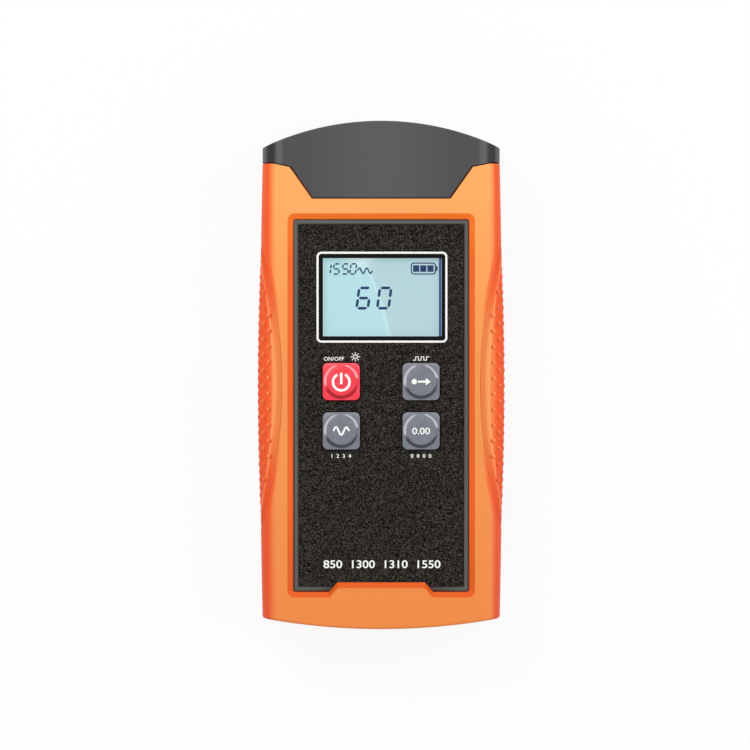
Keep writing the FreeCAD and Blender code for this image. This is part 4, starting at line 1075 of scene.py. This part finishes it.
    def caps(self, spots: np.ndarray, tilts: np.ndarray,
             side: int) -> tuple[np.ndarray, list, np.ndarray]:
        """Stand a low round cap on each of many spots.

        At share t from crown to foot, and angle a, a cap's point is the spot, plus the radius times t along
        two ways square to the tilt by cosine and sine of a, plus the height times one less t squared along
        the tilt. Last comes a ring below the foot, so that no gap opens on a curved surface.

        Args:
            spots: (n, 3) feet in millimetres.
            tilts: (n, 3) the surface's own way out.
            side: which way along X carries a painted highlight, 1 or -1; the other way carries painted shade.

        Returns:
            The corners, the faces, and each corner's painted highlight (above 0) and painted shade (below 0).
        """
        around, rings = self.bump_points, self.bump_rings
        tilts = tilts / np.linalg.norm(tilts, axis=1, keepdims=True)
        first = np.cross(tilts, np.array([0.0, 1.0, 0.0]))
        first /= np.linalg.norm(first, axis=1, keepdims=True)
        second = np.cross(tilts, first)
        share = np.linspace(0.0, 1.0, rings + 1)[1:]
        angle = np.linspace(0, 2 * np.pi, around, endpoint=False)
        flat = share[:, None] * self.bump_radius
        shell = (spots[:, None, None, :]
                 + (flat * np.cos(angle))[None, :, :, None] * first[:, None, None, :]
                 + (flat * np.sin(angle))[None, :, :, None] * second[:, None, None, :]
                 + ((1 - share ** 2) * self.bump_height)[None, :, None, None] * tilts[:, None, None, :])
        root = shell[:, -1:, :, :] - tilts[:, None, None, :] * self.bump_root
        corners = np.concatenate([np.concatenate([shell, root], axis=1).reshape(-1, 3),
                                  spots + tilts * self.bump_height])
        ways = (np.cos(angle)[None, :, None] * first[:, None, :]
                + np.sin(angle)[None, :, None] * second[:, None, :])
        # Painted highlight on the bump's outward and upper side, painted shade on the other side.
        lit = ways[:, :, 0] * side * self.bump_light[0] + ways[:, :, 1] * self.bump_light[1]
        depth = np.append(share ** 1.5, 1.0)
        tone = np.append((lit[:, None, :] * depth[None, :, None]).ravel(), np.zeros(len(spots)))
        start = np.arange(len(spots)) * (rings + 1) * around
        top = np.broadcast_to((len(spots) * (rings + 1) * around + np.arange(len(spots)))[:, None],
                              (len(spots), around))
        turn = np.arange(around)
        cells = grid_faces(rings + 1, around, closed=True)[:, ::-1][None] + start[:, None, None]
        fans = np.stack([top, start[:, None] + turn, start[:, None] + (turn + 1) % around], axis=-1)
        faces = cells.reshape(-1, 4).tolist() + fans.reshape(-1, 3).tolist()
        return corners, faces, np.clip(tone, -1, self.palest)


# ---------------------------------------------------------------- marks

def divided(outline: np.ndarray, spacing: float) -> np.ndarray:
    """Divide a closed outline's long stretches evenly.

    Args:
        outline: (n, 2) points.
        spacing: the furthest that two points may be apart.

    Returns:
        The outline with the points between.
    """
    ahead = np.roll(outline, -1, axis=0) - outline
    counts = np.maximum(1, np.ceil(np.linalg.norm(ahead, axis=1) / spacing)).astype(int)
    steps = np.arange(counts.sum()) - np.repeat(np.cumsum(counts) - counts, counts)
    return (np.repeat(outline, counts, axis=0)
            + np.repeat(ahead, counts, axis=0) * steps[:, None] / np.repeat(counts, counts)[:, None])


def stroke(points: list[tuple[float, float]], width: float,
           closed: bool = False) -> tuple[np.ndarray, np.ndarray]:
    """Draw a line of even width along a flat path, square at its ends.

    The path is first divided into stretches of about the line's width, and each point then gives one corner
    to each side, half the width away.

    Args:
        points: the path.
        width: the line's width.
        closed: whether the path is a loop.

    Returns:
        Flat corners and the faces.
    """
    path = np.array(points, float)
    loop = np.vstack([path, path[:1]]) if closed else path
    lengths = np.linalg.norm(np.diff(loop, axis=0), axis=1)
    knots = np.concatenate([[0], np.cumsum(lengths)])
    extra = np.linspace(0, knots[-1], max(2, int(knots[-1] / width) + 1))
    spots = np.unique(np.round(np.concatenate([knots, extra]), 6))
    spots = spots[:-1] if closed else spots
    line = np.stack([np.interp(spots, knots, loop[:, axis]) for axis in (0, 1)], axis=1)
    side = mitres(line, closed, least=0.35) * width / 2
    corners = np.stack([line + side, line - side], axis=1).reshape(-1, 2)
    faces = grid_faces(len(line), 2)
    if closed:
        faces = np.vstack([faces, [[2 * len(line) - 2, 2 * len(line) - 1, 1, 0]]])
    return corners, faces[:, ::-1]


def arc(centre: tuple[float, float], radius: float, start: float, end: float,
        steps: int = 24) -> list[tuple[float, float]]:
    """Walk round a circle from one angle to another, in degrees."""
    turns = np.radians(np.linspace(start, end, steps))
    return [(centre[0] + radius * math.cos(a), centre[1] + radius * math.sin(a)) for a in turns]


class Sign:
    """A flat printed mark that is gathered from strokes, shapes and plain numbers."""

    def __init__(self) -> None:
        """Start with nothing drawn."""
        self.corners: list[np.ndarray] = []
        self.faces: list[list[int]] = []
        self.count = 0

    def add(self, corners: np.ndarray, faces: np.ndarray | list) -> "Sign":
        """Add flat corners and faces.

        Args:
            corners: (n, 2) corners.
            faces: corner numbers of each face, counted within these corners.

        Returns:
            This sign.
        """
        self.faces += [[int(corner) + self.count for corner in face] for face in faces]
        self.corners.append(np.asarray(corners, float))
        self.count += len(corners)
        return self

    def line(self, points: list[tuple[float, float]], width: float, closed: bool = False) -> "Sign":
        """Add a stroke."""
        return self.add(*stroke(points, width, closed))

    def shape(self, points: list[tuple[float, float]]) -> "Sign":
        """Add one flat face."""
        return self.add(np.array(points), [list(range(len(points)))])

    def text(self, words: str, middle: tuple[float, float], height: float, spread: float = 1.0) -> "Sign":
        """Add plain numbers or letters in the built-in typeface.

        Args:
            words: what is set.
            middle: where its middle goes.
            height: how tall it is.
            spread: how much wider than usual it is set.

        Returns:
            This sign.
        """
        curve = bpy.data.curves.new("numerals", "FONT")
        curve.body, curve.align_x, curve.align_y = words, "CENTER", "CENTER"
        curve.resolution_u, curve.offset = 4, 0.012
        holder = bpy.data.objects.new("numerals", curve)
        mesh = bpy.data.meshes.new_from_object(holder)
        points = np.zeros(len(mesh.vertices) * 3)
        mesh.vertices.foreach_get("co", points)
        points = points.reshape(-1, 3)[:, :2]
        low, high = points.min(axis=0), points.max(axis=0)
        scale = height / (high[1] - low[1])
        points = (points - (low + high) / 2) * np.array([scale * spread, scale]) + np.array(middle)
        self.add(points, [list(face.vertices) for face in mesh.polygons])
        bpy.data.objects.remove(holder)
        bpy.data.meshes.remove(mesh)
        return self

    def lay(self, name: str, level: float | Callable[[np.ndarray, np.ndarray], np.ndarray],
            material: bpy.types.Material, body: Body, slot: str) -> None:
        """Lay the mark on a surface as one piece.

        Args:
            name: the piece's name.
            level: the surface's height, or a function that gives it for arrays of X and Y.
            material, body: as for any piece.
            slot: not used.
        """
        flat = np.vstack(self.corners)
        high = level(flat[:, 0], flat[:, 1]) if callable(level) else np.full(len(flat), level)
        add_piece(name, np.column_stack([flat, high]), self.faces, material, body, smooth=False)


def standby(centre: tuple[float, float]) -> Sign:
    """Draw the standby sign: an open ring with an upright bar."""
    x, y = centre
    return (Sign().line(arc((x, y - 0.1), 2.12, 118, 422, 40), 0.62)
            .line([(x, y - 0.65), (x, y + 2.25)], 0.62))


def beam(centre: tuple[float, float]) -> Sign:
    """Draw a light source and its beam: a dot, a line and an arrow head."""
    x, y = centre
    return (Sign().line(arc((x - 1.75, y), 0.34, 0, 345, 14), 0.68, closed=True)
            .line([(x - 0.8, y), (x + 1.3, y)], 0.5)
            .shape([(x + 1.2, y - 0.95), (x + 2.45, y), (x + 1.2, y + 0.95)]))


def sine(start: tuple[float, float], length: float, height: float, periods: float,
         steps: int) -> list[tuple[float, float]]:
    """Walk along a sine wave from where it starts."""
    turns = np.linspace(0, 2 * np.pi * periods, steps)
    return [(start[0] + length * turn / turns[-1], start[1] + height * math.sin(turn)) for turn in turns]


def ripple(centre: tuple[float, float]) -> Sign:
    """Draw one and a half periods of a wave."""
    return Sign().line(sine((centre[0] - 2.0, centre[1]), 4.0, 0.95, 1.5, 37), 0.48)


def zero(centre: tuple[float, float]) -> Sign:
    """Set a plain zero reading."""
    return Sign().text("0.00", centre, 1.75, 1.12)


KEYS = (("key_power", Body.POWER, standby), ("key_laser", Body.LASER, beam),
        ("key_wavelength", Body.WAVELENGTH, ripple), ("key_reference", Body.REFERENCE, zero))


@dataclass
class Keys:
    """The four push keys: a square skirt with a steep-sided round crown, a low dome and a white mark."""

    red: bpy.types.Material
    grey: bpy.types.Material
    ink: bpy.types.Material
    half: float = 4.75
    corner: float = 1.3
    crown_radius: float = 4.55
    flank: float = 0.82
    shift: float = 0.30
    dome: float = 0.26
    shoulder: float = 0.62
    lip: float = 0.14
    flange: float = 0.9
    flange_height: float = 0.7
    foot_gap: float = 0.05
    proud: float = 0.012
    spacing: float = 0.5
    corner_points: int = 9
    hub: float = 0.15
    disc_rings: int = 5
    flank_rings: int = 10
    edge_rings: int = 4
    # Painted shade and painted highlights on the crown's flank.
    shade_arc: tuple = (0.10, 0.5)
    highlight_arcs: tuple = ((158, 0.58, 0.24), (42, 0.80, 0.10))
    highlight_top: tuple = (0.8, 0.2, 0.35)
    upper_skirt_highlight: tuple = (0.35, 0.6, 0.42)

    def __post_init__(self) -> None:
        """Read where the keys stand, and leave their marks room below their box's top."""
        low, high = box_of("key_power")
        self.bottom = low[2]
        self.skirt_top = high[2] - self.proud * 2 - self.dome - self.shoulder

    def dress(self) -> None:
        """Build the keys and print their marks."""
        for node, body, mark in KEYS:
            low, high = box_of(node)
            centre = (low + high)[:2] / 2
            self.cap(node, centre, body)
            mark(tuple(centre)).lay(f"{node}_mark", partial(self.surface, centre), self.ink, body,
                                    self.slot(body))

    @staticmethod
    def slot(body: Body) -> str:
        """Name the record's slot of a key's plastic."""
        return "key_red" if body is Body.POWER else "key_grey"

    def climb(self, away: float | np.ndarray) -> float | np.ndarray:
        """Find how far up the crown's flank a ring is, from 0 at its foot to 1."""
        return smooth((self.crown_radius - away) / self.flank)

    def crown(self, away: float | np.ndarray) -> float | np.ndarray:
        """Find a ring's height: the skirt's top, plus the shoulder by its climb, plus a low dome.

        The dome falls with the square of the distance from the crown's middle.
        """
        dome = 1 - np.clip(away / self.crown_radius, 0, 1) ** 2
        return self.skirt_top + self.shoulder * self.climb(away) + self.dome * dome

    def surface(self, centre: np.ndarray, x: np.ndarray, y: np.ndarray) -> np.ndarray:
        """Find the crown's height under marks, measured from its shifted middle."""
        return self.crown(np.hypot(x - centre[0], y - centre[1] - self.shift)) + self.proud

    def rings(self) -> tuple[list[np.ndarray], np.ndarray]:
        """Lay out one key's rings, from its middle out and down.

        Rings are circles on the crown, shifted up the key by their climb, then go over to the square
        outline, round the skirt's edge as a quarter circle, drop to the flange, step out to its rim and
        close underneath.

        Returns:
            The rings of points about the key's middle, and each point's painted highlight (above 0) and
            painted shade (below 0).
        """
        corners = [(*corner, self.corner)
                   for corner in corners_of((-self.half, -self.half), (self.half, self.half))]
        square = divided(rounded(corners, self.corner_points), self.spacing)
        angle = np.arctan2(square[:, 1], square[:, 0])
        circle = np.stack([np.cos(angle), np.sin(angle)], axis=1)
        rings, painted_shadings = [], []
        inside = self.crown_radius - self.flank
        disc = np.linspace(self.hub, 1, self.disc_rings) * inside
        flank = np.linspace(inside, self.crown_radius, self.flank_rings + 1)[1:]
        for away in (*disc, *flank):
            shift = np.array([0, self.shift * self.climb(away)])
            rings.append(np.column_stack([circle * away + shift, np.full(len(circle), self.crown(away))]))
            painted_shadings.append(self.tone(angle, min(max((away - inside) / self.flank, 0), 1)))
        foot = self.crown_radius + self.foot_gap
        scale = (self.half - self.lip) / self.half
        flat = np.where(np.linalg.norm(square, axis=1, keepdims=True) * scale < foot, circle * foot,
                        square * scale)
        rings.append(np.column_stack([flat, np.full(len(flat), self.skirt_top)]))
        outer = [((self.half - self.lip * (1 - math.sin(turn))) / self.half,
                  self.skirt_top - self.lip * (1 - math.cos(turn)))
                 for turn in np.linspace(0, np.pi / 2, self.edge_rings + 1)[1:]]
        rim, step = (self.half + self.flange) / self.half, self.bottom + self.flange_height
        outer += [(1, step), (rim, step), (rim, self.bottom)]
        rings += [np.column_stack([square * grow, np.full(len(square), high)]) for grow, high in outer]
        # Painted highlight on the skirt and flange, paler towards the top of the key.
        start, most, level = self.upper_skirt_highlight
        upper = np.clip(np.concatenate(rings[len(painted_shadings):])[:, 1] / self.half - start, 0, most) * level
        return rings, np.concatenate([*painted_shadings, upper])

    def cap(self, node: str, centre: np.ndarray, body: Body) -> None:
        """Build one key from its rings, closed by a fan of triangles at its crown and at its base.

        Args:
            node: the CAD node that the key stands for.
            centre: its middle.
            body: what it moves with.
        """
        rings, tone = self.rings()
        count = len(rings[0])
        corners = np.vstack([*rings, [[0, self.shift, self.crown(0.0)]], [[0, 0, self.bottom]]])
        corners[:, :2] += centre
        crown, last = len(rings) * count, (len(rings) - 1) * count
        number = np.arange(count)
        beside = (number + 1) % count
        fans = np.stack([np.full(count, crown), number, beside,
                         np.full(count, crown + 1), last + beside, last + number], axis=1).reshape(-1, 3)
        faces = grid_faces(len(rings), count, closed=True)[:, ::-1].tolist() + fans.tolist()
        key = add_piece(f"{node}_cap", corners, faces, self.red if body is Body.POWER else self.grey, body,
                        solid=True, tone=np.append(tone, [0, 0]))
        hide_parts(node)

    def tone(self, angle: np.ndarray, share: float) -> np.ndarray:
        """Find the painted highlight and painted shade of one ring of the crown's flank.

        The painted shading follows a bell of the share of the way down the flank. At angle a the ring carries
        painted shade by how far a points down, and a painted highlight in one arc to the left, a shorter one
        at the upper right and at the top.

        Args:
            angle: the angle of each corner.
            share: how far down the flank the ring lies.

        Returns:
            From 1 for a painted highlight to -1 for painted shade.
        """
        start, reach = self.shade_arc
        dark = np.clip((-np.sin(angle) - start) / reach, 0, 1)
        start, reach, level = self.highlight_top
        pale = (sum(np.clip((np.cos(angle - math.radians(middle)) - least) / fade, 0, 1)
                    for middle, least, fade in self.highlight_arcs)
                + level * np.clip((np.sin(angle) - start) / reach, 0, 1))
        return math.sin(math.pi * share) ** 0.6 * (np.clip(pale, 0, 1) - dark)


# ---------------------------------------------------------------- front panel

@dataclass
class Panel:
    """The recessed front panel: frame, film, window, display and print."""

    frame_grey: bpy.types.Material
    bead_grey: bpy.types.Material
    film: bpy.types.Material
    window: bpy.types.Material
    display: bpy.types.Material
    glow: bpy.types.Material
    ink: bpy.types.Material
    black: bpy.types.Material
    navy: bpy.types.Material
    line_width: float = 0.54
    line_round: float = 0.75
    print_height: float = 0.03
    border: float = 1.12
    border_right: float = 0.95
    notch_rise: float = 2.4
    notch_half: float = 11.2
    notch_flare: float = 2.1
    bead_width: float = 1.36
    bead_height: float = 0.24
    bead_foot: float = 0.012
    line_edge: float = 0.03
    line_root: float = 0.01
    mask_height: float = 0.008
    caption_height: float = 0.015
    digit_height: float = 0.02
    slant: float = 0.13
    segment_space: float = 0.28
    status_drop: float = 5.15
    status_inset: float = 1.9
    status_size: tuple = (1.45, 2.6)
    status_stroke: float = 0.4
    reading_drop: float = 2.8
    reading_size: tuple = (2.9, 5.2)
    reading_stroke: float = 0.7
    caption_size: tuple = (1.0, 1.05)
    caption_line: float = 0.2
    caption_rise: float = 5.85
    caption_drop: float = 6.4
    foot_size: tuple = (2.05, 1.16)
    foot_rise: float = 7.0

    def __post_init__(self) -> None:
        """Read where the panel's own pieces lie."""
        self.window_low, self.window_high = box_of("display_window")
        self.frame_low, self.frame_high = box_of("panel_frame")
        self.film_top = self.window_high[2]
        self.glass_top = box_of("lcd_glass")[1][2]

    def dress(self) -> None:
        """Give the panel its finishes, its printed line and its display."""
        for node, material in (("panel_frame", self.frame_grey), ("panel_overlay", self.film),
                               ("display_window", self.window), ("lcd_glass", self.display),
                               ("lcd_backlight", self.glow)):
            coat(node, material)
        self.bead()
        self.line()
        self.mask()
        self.reading()
        self.captions()

    def window_path(self) -> np.ndarray:
        """The window's outline with its round corners."""
        return rounded([(*corner, self.line_round) for corner in
                        corners_of(self.window_low, self.window_high)])

    def bead(self) -> None:
        """Run a low rounded bead round the frame, open where the notch cuts it off on the slant.

        The section is a half period of a sine, flattened at its foot.
        """
        low, high = self.frame_low, self.frame_high
        start = self.notch_half + self.notch_flare
        corners = [(start, low[1]), *corners_of(low, high)[1:], (low[0], low[1]), (-start, low[1])]
        share = np.linspace(0, 1, 9)
        up = self.bead_height * np.sin(np.pi * share) ** 1.5 + self.bead_foot
        profile = np.column_stack([-share * self.bead_width, up + self.frame_high[2]])
        points, faces = along_path(np.array(corners), profile, closed=False)
        grid = points.reshape(len(profile), len(corners), 3)
        shift = share * self.bead_width * self.notch_flare / self.notch_rise
        grid[:, 0, 0] -= shift
        grid[:, -1, 0] += shift
        count = len(corners)
        first = [row * count for row in range(len(profile))]
        under = [[number, number + 1, first[-1] + number + 1, first[-1] + number]
                 for number in range(count - 1)]
        ends = [first, [corner + count - 1 for corner in first][::-1]]
        add_piece("frame_bead", grid.reshape(-1, 3), faces.tolist() + under + ends, self.bead_grey,
                  Body.CASE, solid=True)

    def line(self) -> None:
        """Print the white line round the window, a flat band carried round the window's outline."""
        out, edge, top, root = self.line_width, self.line_edge, self.print_height, -self.line_root
        profile = np.array([(out, root), (out - edge, top), (edge, top), (0, root)])
        corners, faces = along_path(self.window_path(), profile + np.array([0, self.film_top]))
        add_piece("window_line", corners, faces, self.ink, Body.CASE)

    def mask(self) -> None:
        """Print the black border between the white line and the display: a ring of four mitred bands."""
        low, high = self.window_low, self.window_high
        outside = np.array(corners_of(low, high))
        inside = np.array(corners_of((low[0] + self.border, low[1] + self.border),
                                     (high[0] - self.border_right, high[1] - self.border)))
        level = np.full((4, 1), self.film_top + self.mask_height)
        corners = np.vstack([np.hstack([outside, level]), np.hstack([inside, level])])
        faces = [[side, (side + 1) % 4, 4 + (side + 1) % 4, 4 + side] for side in range(4)]
        add_piece("window_border", corners, faces, self.black, Body.CASE, smooth=False)

    def digit(self, sign: Sign, number: str, corner: tuple[float, float], size: tuple[float, float],
              width: float) -> None:
        """Draw one seven-segment numeral that leans to the right.

        Each segment is a six-sided bar with a small space at both ends; a point's lean is the slant times
        its height above the numeral's foot.

        Args:
            sign: the sign that it is added to.
            number: the numeral.
            corner: its lower left corner.
            size: its width and height.
            width: a segment's width.
        """
        lit = {"0": "abcdef", "1": "bc", "5": "acdfg", "6": "acdefg"}[number]
        wide, tall = size
        nodes = {"bl": (0, 0), "br": (wide, 0), "ml": (0, tall / 2), "mr": (wide, tall / 2),
                 "tl": (0, tall), "tr": (wide, tall)}
        bars = {"a": ("tl", "tr"), "b": ("mr", "tr"), "c": ("br", "mr"), "d": ("bl", "br"),
                "e": ("bl", "ml"), "f": ("ml", "tl"), "g": ("ml", "mr")}
        for name in lit:
            first, last = (np.array(nodes[end], float) for end in bars[name])
            way = (last - first) / np.linalg.norm(last - first)
            side = np.array([-way[1], way[0]]) * width / 2
            first, last = first + way * width * self.segment_space, last - way * width * self.segment_space
            points = np.array([first, first + way * width / 2 - side, last - way * width / 2 - side, last,
                               last - way * width / 2 + side, first + way * width / 2 + side])
            points[:, 0] += points[:, 1] * self.slant
            sign.shape([tuple(point) for point in points + np.array(corner)])

    def reading(self) -> None:
        """Show plain numbers, a wave sign and a full battery on the display."""
        sign = Sign()
        top, left = self.window_high[1] - self.status_drop, self.window_low[0] + self.status_inset
        for place, number in zip((-0.45, 1.75, 4.05, 6.05), "1550"):
            self.digit(sign, number, (left + place, top), self.status_size, self.status_stroke)
        sign.line(sine((left + 8.1, top + 0.85), 3.7, 0.7, 2, 33), 0.36)
        x, y = ((self.window_low + self.window_high) / 2)[:2]
        for place, number in ((-6.5, "6"), (-1.2, "0")):
            self.digit(sign, number, (x + place, y - self.reading_drop), self.reading_size,
                       self.reading_stroke)
        right = self.window_high[0]
        case = corners_of((right - 8.7, top), (right - 2.5, top + 2.8))
        sign.line(rounded([(*corner, 0.7) for corner in case], 6).tolist(), 0.3, closed=True)
        sign.shape([(right - 2.4, top + 0.8), (right - 1.95, top + 0.9), (right - 1.95, top + 1.9),
                    (right - 2.4, top + 2.0)])
        for bar in range(3):
            start = right - 8.25 + bar * 1.83
            sign.shape(corners_of((start, top + 0.55), (start + 1.6, top + 2.25)))
        sign.lay("display_reading", self.glass_top + self.digit_height, self.navy, Body.CASE, "lcd")

    def captions(self) -> None:
        """Print the plain signs beside the keys and the row of plain numbers at the foot."""
        spots = {node: sum(box_of(node))[:2] / 2 for node, _, _ in KEYS}
        sign = Sign()
        x, y = spots["key_power"]
        sun = (x + 3.6, y + 6.35)
        sign.line(arc(sun, 0.5, 0, 330, 12), 0.22, closed=True)
        for turn in range(0, 360, 45):
            sign.line([arc(sun, reach, turn, turn, 1)[0] for reach in (0.76, 1.2)], self.caption_line)
        sign.text("ON/OFF", (x - 1.9, y + self.caption_rise), *self.caption_size)
        x, y = spots["key_laser"]
        sign.line([(x - 2.1 + (step + 1) // 2 * 0.7, y + 5.5 + step // 2 % 2 * 0.85) for step in range(12)],
                  self.caption_line)
        for node, words in (("key_wavelength", "1  2  3  4"), ("key_reference", "0  0  0  0")):
            x, y = spots[node]
            sign.text(words, (x, y - self.caption_drop), *self.caption_size)
        sign.text("850  1300  1310  1550", (0.2, self.frame_low[1] + self.foot_rise), *self.foot_size)
        sign.lay("panel_print", self.film_top + self.caption_height, self.ink, Body.CASE, "film_black")


@dataclass
class Fittings:
    """What the case and the cover hold: ports, board, cells, springs, pins and screws."""

    steel: bpy.types.Material
    nickel: bpy.types.Material
    brass: bpy.types.Material
    plate: bpy.types.Material
    board: bpy.types.Material
    silicone: bpy.types.Material
    cell: bpy.types.Material
    orange: bpy.types.Material
    cover: bpy.types.Material

    def dress(self) -> None:
        """Give every fitting its finish."""
        for material, nodes in (
                (self.orange, ("front_shell", "rear_shell", "battery_door")),
                (self.steel, ("battery_contacts_lower", "battery_contacts_upper", "board_screws",
                              "case_screws", "cover_hinge_pin_left", "cover_hinge_pin_right",
                              "dome_switches")),
                (self.nickel, ("optical_adapter", "optical_port_body", "laser_port", "laser_port_nut",
                               "photodetector")),
                (self.brass, ("laser_module",)), (self.plate, ("port_plate",)),
                (self.board, ("main_board",)), (self.silicone, ("keypad_mat",)),
                (self.cell, ("battery_left", "battery_middle", "battery_right")),
                (self.cover, ("dust_cover",))):
            for node in nodes:
                coat(node, material)


# ---------------------------------------------------------------- studio

@dataclass
class Studio:
    """A pale floor, soft light all round and a camera straight above the face."""

    frame_width: float = 191.9
    distance: float = 1500.0
    centre: tuple[float, float] = (-1.58, 0.0)
    focus_level: float = 26.0
    sensor: float = 36.0
    clip_end: float = 20.0
    sky: float = 0.62
    floor_half: float = 1600.0
    floor_level: float = -0.02
    floor_grey: tuple = (0.9, 0.9, 0.9, 1)
    floor_white: float = 0.9
    aim: tuple[float, float, float] = (0, 0, 14)
    lamps: tuple = (("key_light", (-330, 420, 760), 380, 3.2), ("fill_light", (520, 60, 560), 420, 1.5))

    def build(self) -> None:
        """Make the world, the floor, the lamps and the camera."""
        self.world()
        self.floor()
        for lamp in self.lamps:
            self.lamp(*lamp)
        self.camera()
        bpy.context.scene.view_settings.view_transform = "Standard"

    @staticmethod
    def seen(recipe: Recipe) -> Signal:
        """Find the rays that should see plain white: from the camera, a reflection or through glass."""
        rays = [recipe.node("ShaderNodeLightPath", output=name)
                for name in ("Is Camera Ray", "Is Glossy Ray", "Is Transmission Ray")]
        return rays[0].most(rays[1]).most(rays[2])

    def world(self) -> None:
        """Light everything evenly from a pale sky that itself looks white."""
        recipe = Recipe("studio", world=True)
        light, white = (recipe.node("ShaderNodeBackground", inputs={"Color": WHITE, "Strength": strength})
                        for strength in (self.sky, 1.0))
        bpy.context.scene.world = recipe.close(recipe.node(
            "ShaderNodeMixShader", inputs={0: self.seen(recipe), 1: light, 2: white}))

    def floor(self) -> None:
        """Lay a plain white floor that keeps a soft shadow."""
        recipe = Recipe("floor")
        matt = recipe.node("ShaderNodeBsdfDiffuse", inputs={"Color": self.floor_grey})
        white = recipe.node("ShaderNodeEmission", inputs={"Color": WHITE, "Strength": 1.0})
        share = self.seen(recipe) * self.floor_white
        material = recipe.close(recipe.node("ShaderNodeMixShader", inputs={0: share, 1: matt, 2: white}))
        half, mesh = self.floor_half, bpy.data.meshes.new("floor")
        corners = [(x * MM, y * MM, self.floor_level * MM)
                   for x, y in corners_of((-half, -half), (half, half))]
        mesh.from_pydata(corners, [], [(0, 1, 2, 3)])
        mesh.materials.append(material)
        floor = bpy.data.objects.new("floor", mesh)
        bpy.context.scene.collection.objects.link(floor)

    def lamp(self, name: str, place: tuple[float, float, float], size: float, power: float) -> None:
        """Hang a square soft lamp that looks at the object's middle.

        Args:
            name: the lamp's name.
            place: where it hangs, in millimetres.
            size: its side.
            power: its power in watts.
        """
        data = bpy.data.lights.new(name, "AREA")
        data.size = size * MM
        data.energy = power
        lamp = bpy.data.objects.new(name, data)
        lamp.location = Vector(place) * MM
        lamp.rotation_euler = (Vector(self.aim) * MM - lamp.location).to_track_quat("-Z", "Y").to_euler()
        bpy.context.scene.collection.objects.link(lamp)

    def camera(self) -> None:
        """Hang the camera straight above the face."""
        data = bpy.data.cameras.new("camera")
        data.sensor_width = self.sensor
        data.lens = self.sensor * (self.distance - self.focus_level) / self.frame_width
        data.clip_end = self.clip_end
        camera = bpy.data.objects.new("camera", data)
        camera.location = Vector((*self.centre, self.distance)) * MM
        bpy.context.scene.collection.objects.link(camera)
        bpy.context.scene.camera = camera


def main() -> None:
    """Build and dress every part in order."""
    logging.basicConfig(level=logging.INFO, format="%(name)s: %(message)s")
    orange = CaseOrange("case_orange").make()
    rubber = CaseOrange("grip_rubber", 0.55, paint_shading=True).make()
    cover = CoverGrey().make()
    ink = Print("print_white", tint(244, 244, 242)).make()
    black = Print("print_black", tint(9, 9, 10), 0.45, 0.08).make()
    grey = KeyPlastic("key_grey", tint(108, 112, 122), tint(120, 123, 133), tint(208, 209, 219),
                      tint(60, 63, 72)).make()
    red = KeyPlastic("key_red", tint(234, 50, 64), tint(238, 66, 82), tint(255, 182, 190),
                     tint(178, 14, 36)).make()
    Grips(rubber).dress()
    Keys(red, grey, ink).dress()
    Panel(Moulding("frame_grey", tint(56, 57, 58), tint(62, 62, 62), 0.5).make(), Bead().make(),
          SparkleFilm().make(), ClearWindow().make(), DisplayGlass().make(),
          Moulding("backlight_white", tint(236, 238, 236), tint(226, 228, 226), 0.5).make(),
          ink, black, Print("segment_navy", tint(14, 50, 98), 0.4, 0.1).make()).dress()
    Fittings(Metal("steel", tint(176, 178, 182)).make(), Metal("nickel", tint(206, 204, 198), 0.24).make(),
             Metal("brass", tint(206, 166, 92)).make(),
             Moulding("plate_black", tint(30, 31, 33), tint(42, 42, 44), 0.5).make(),
             CircuitBoard().make(),
             Moulding("silicone", tint(196, 198, 200), tint(206, 208, 210), 0.6).make(),
             CellJacket().make(), orange, cover).dress()
    Studio().build()


if __name__ == "__main__":
    main()
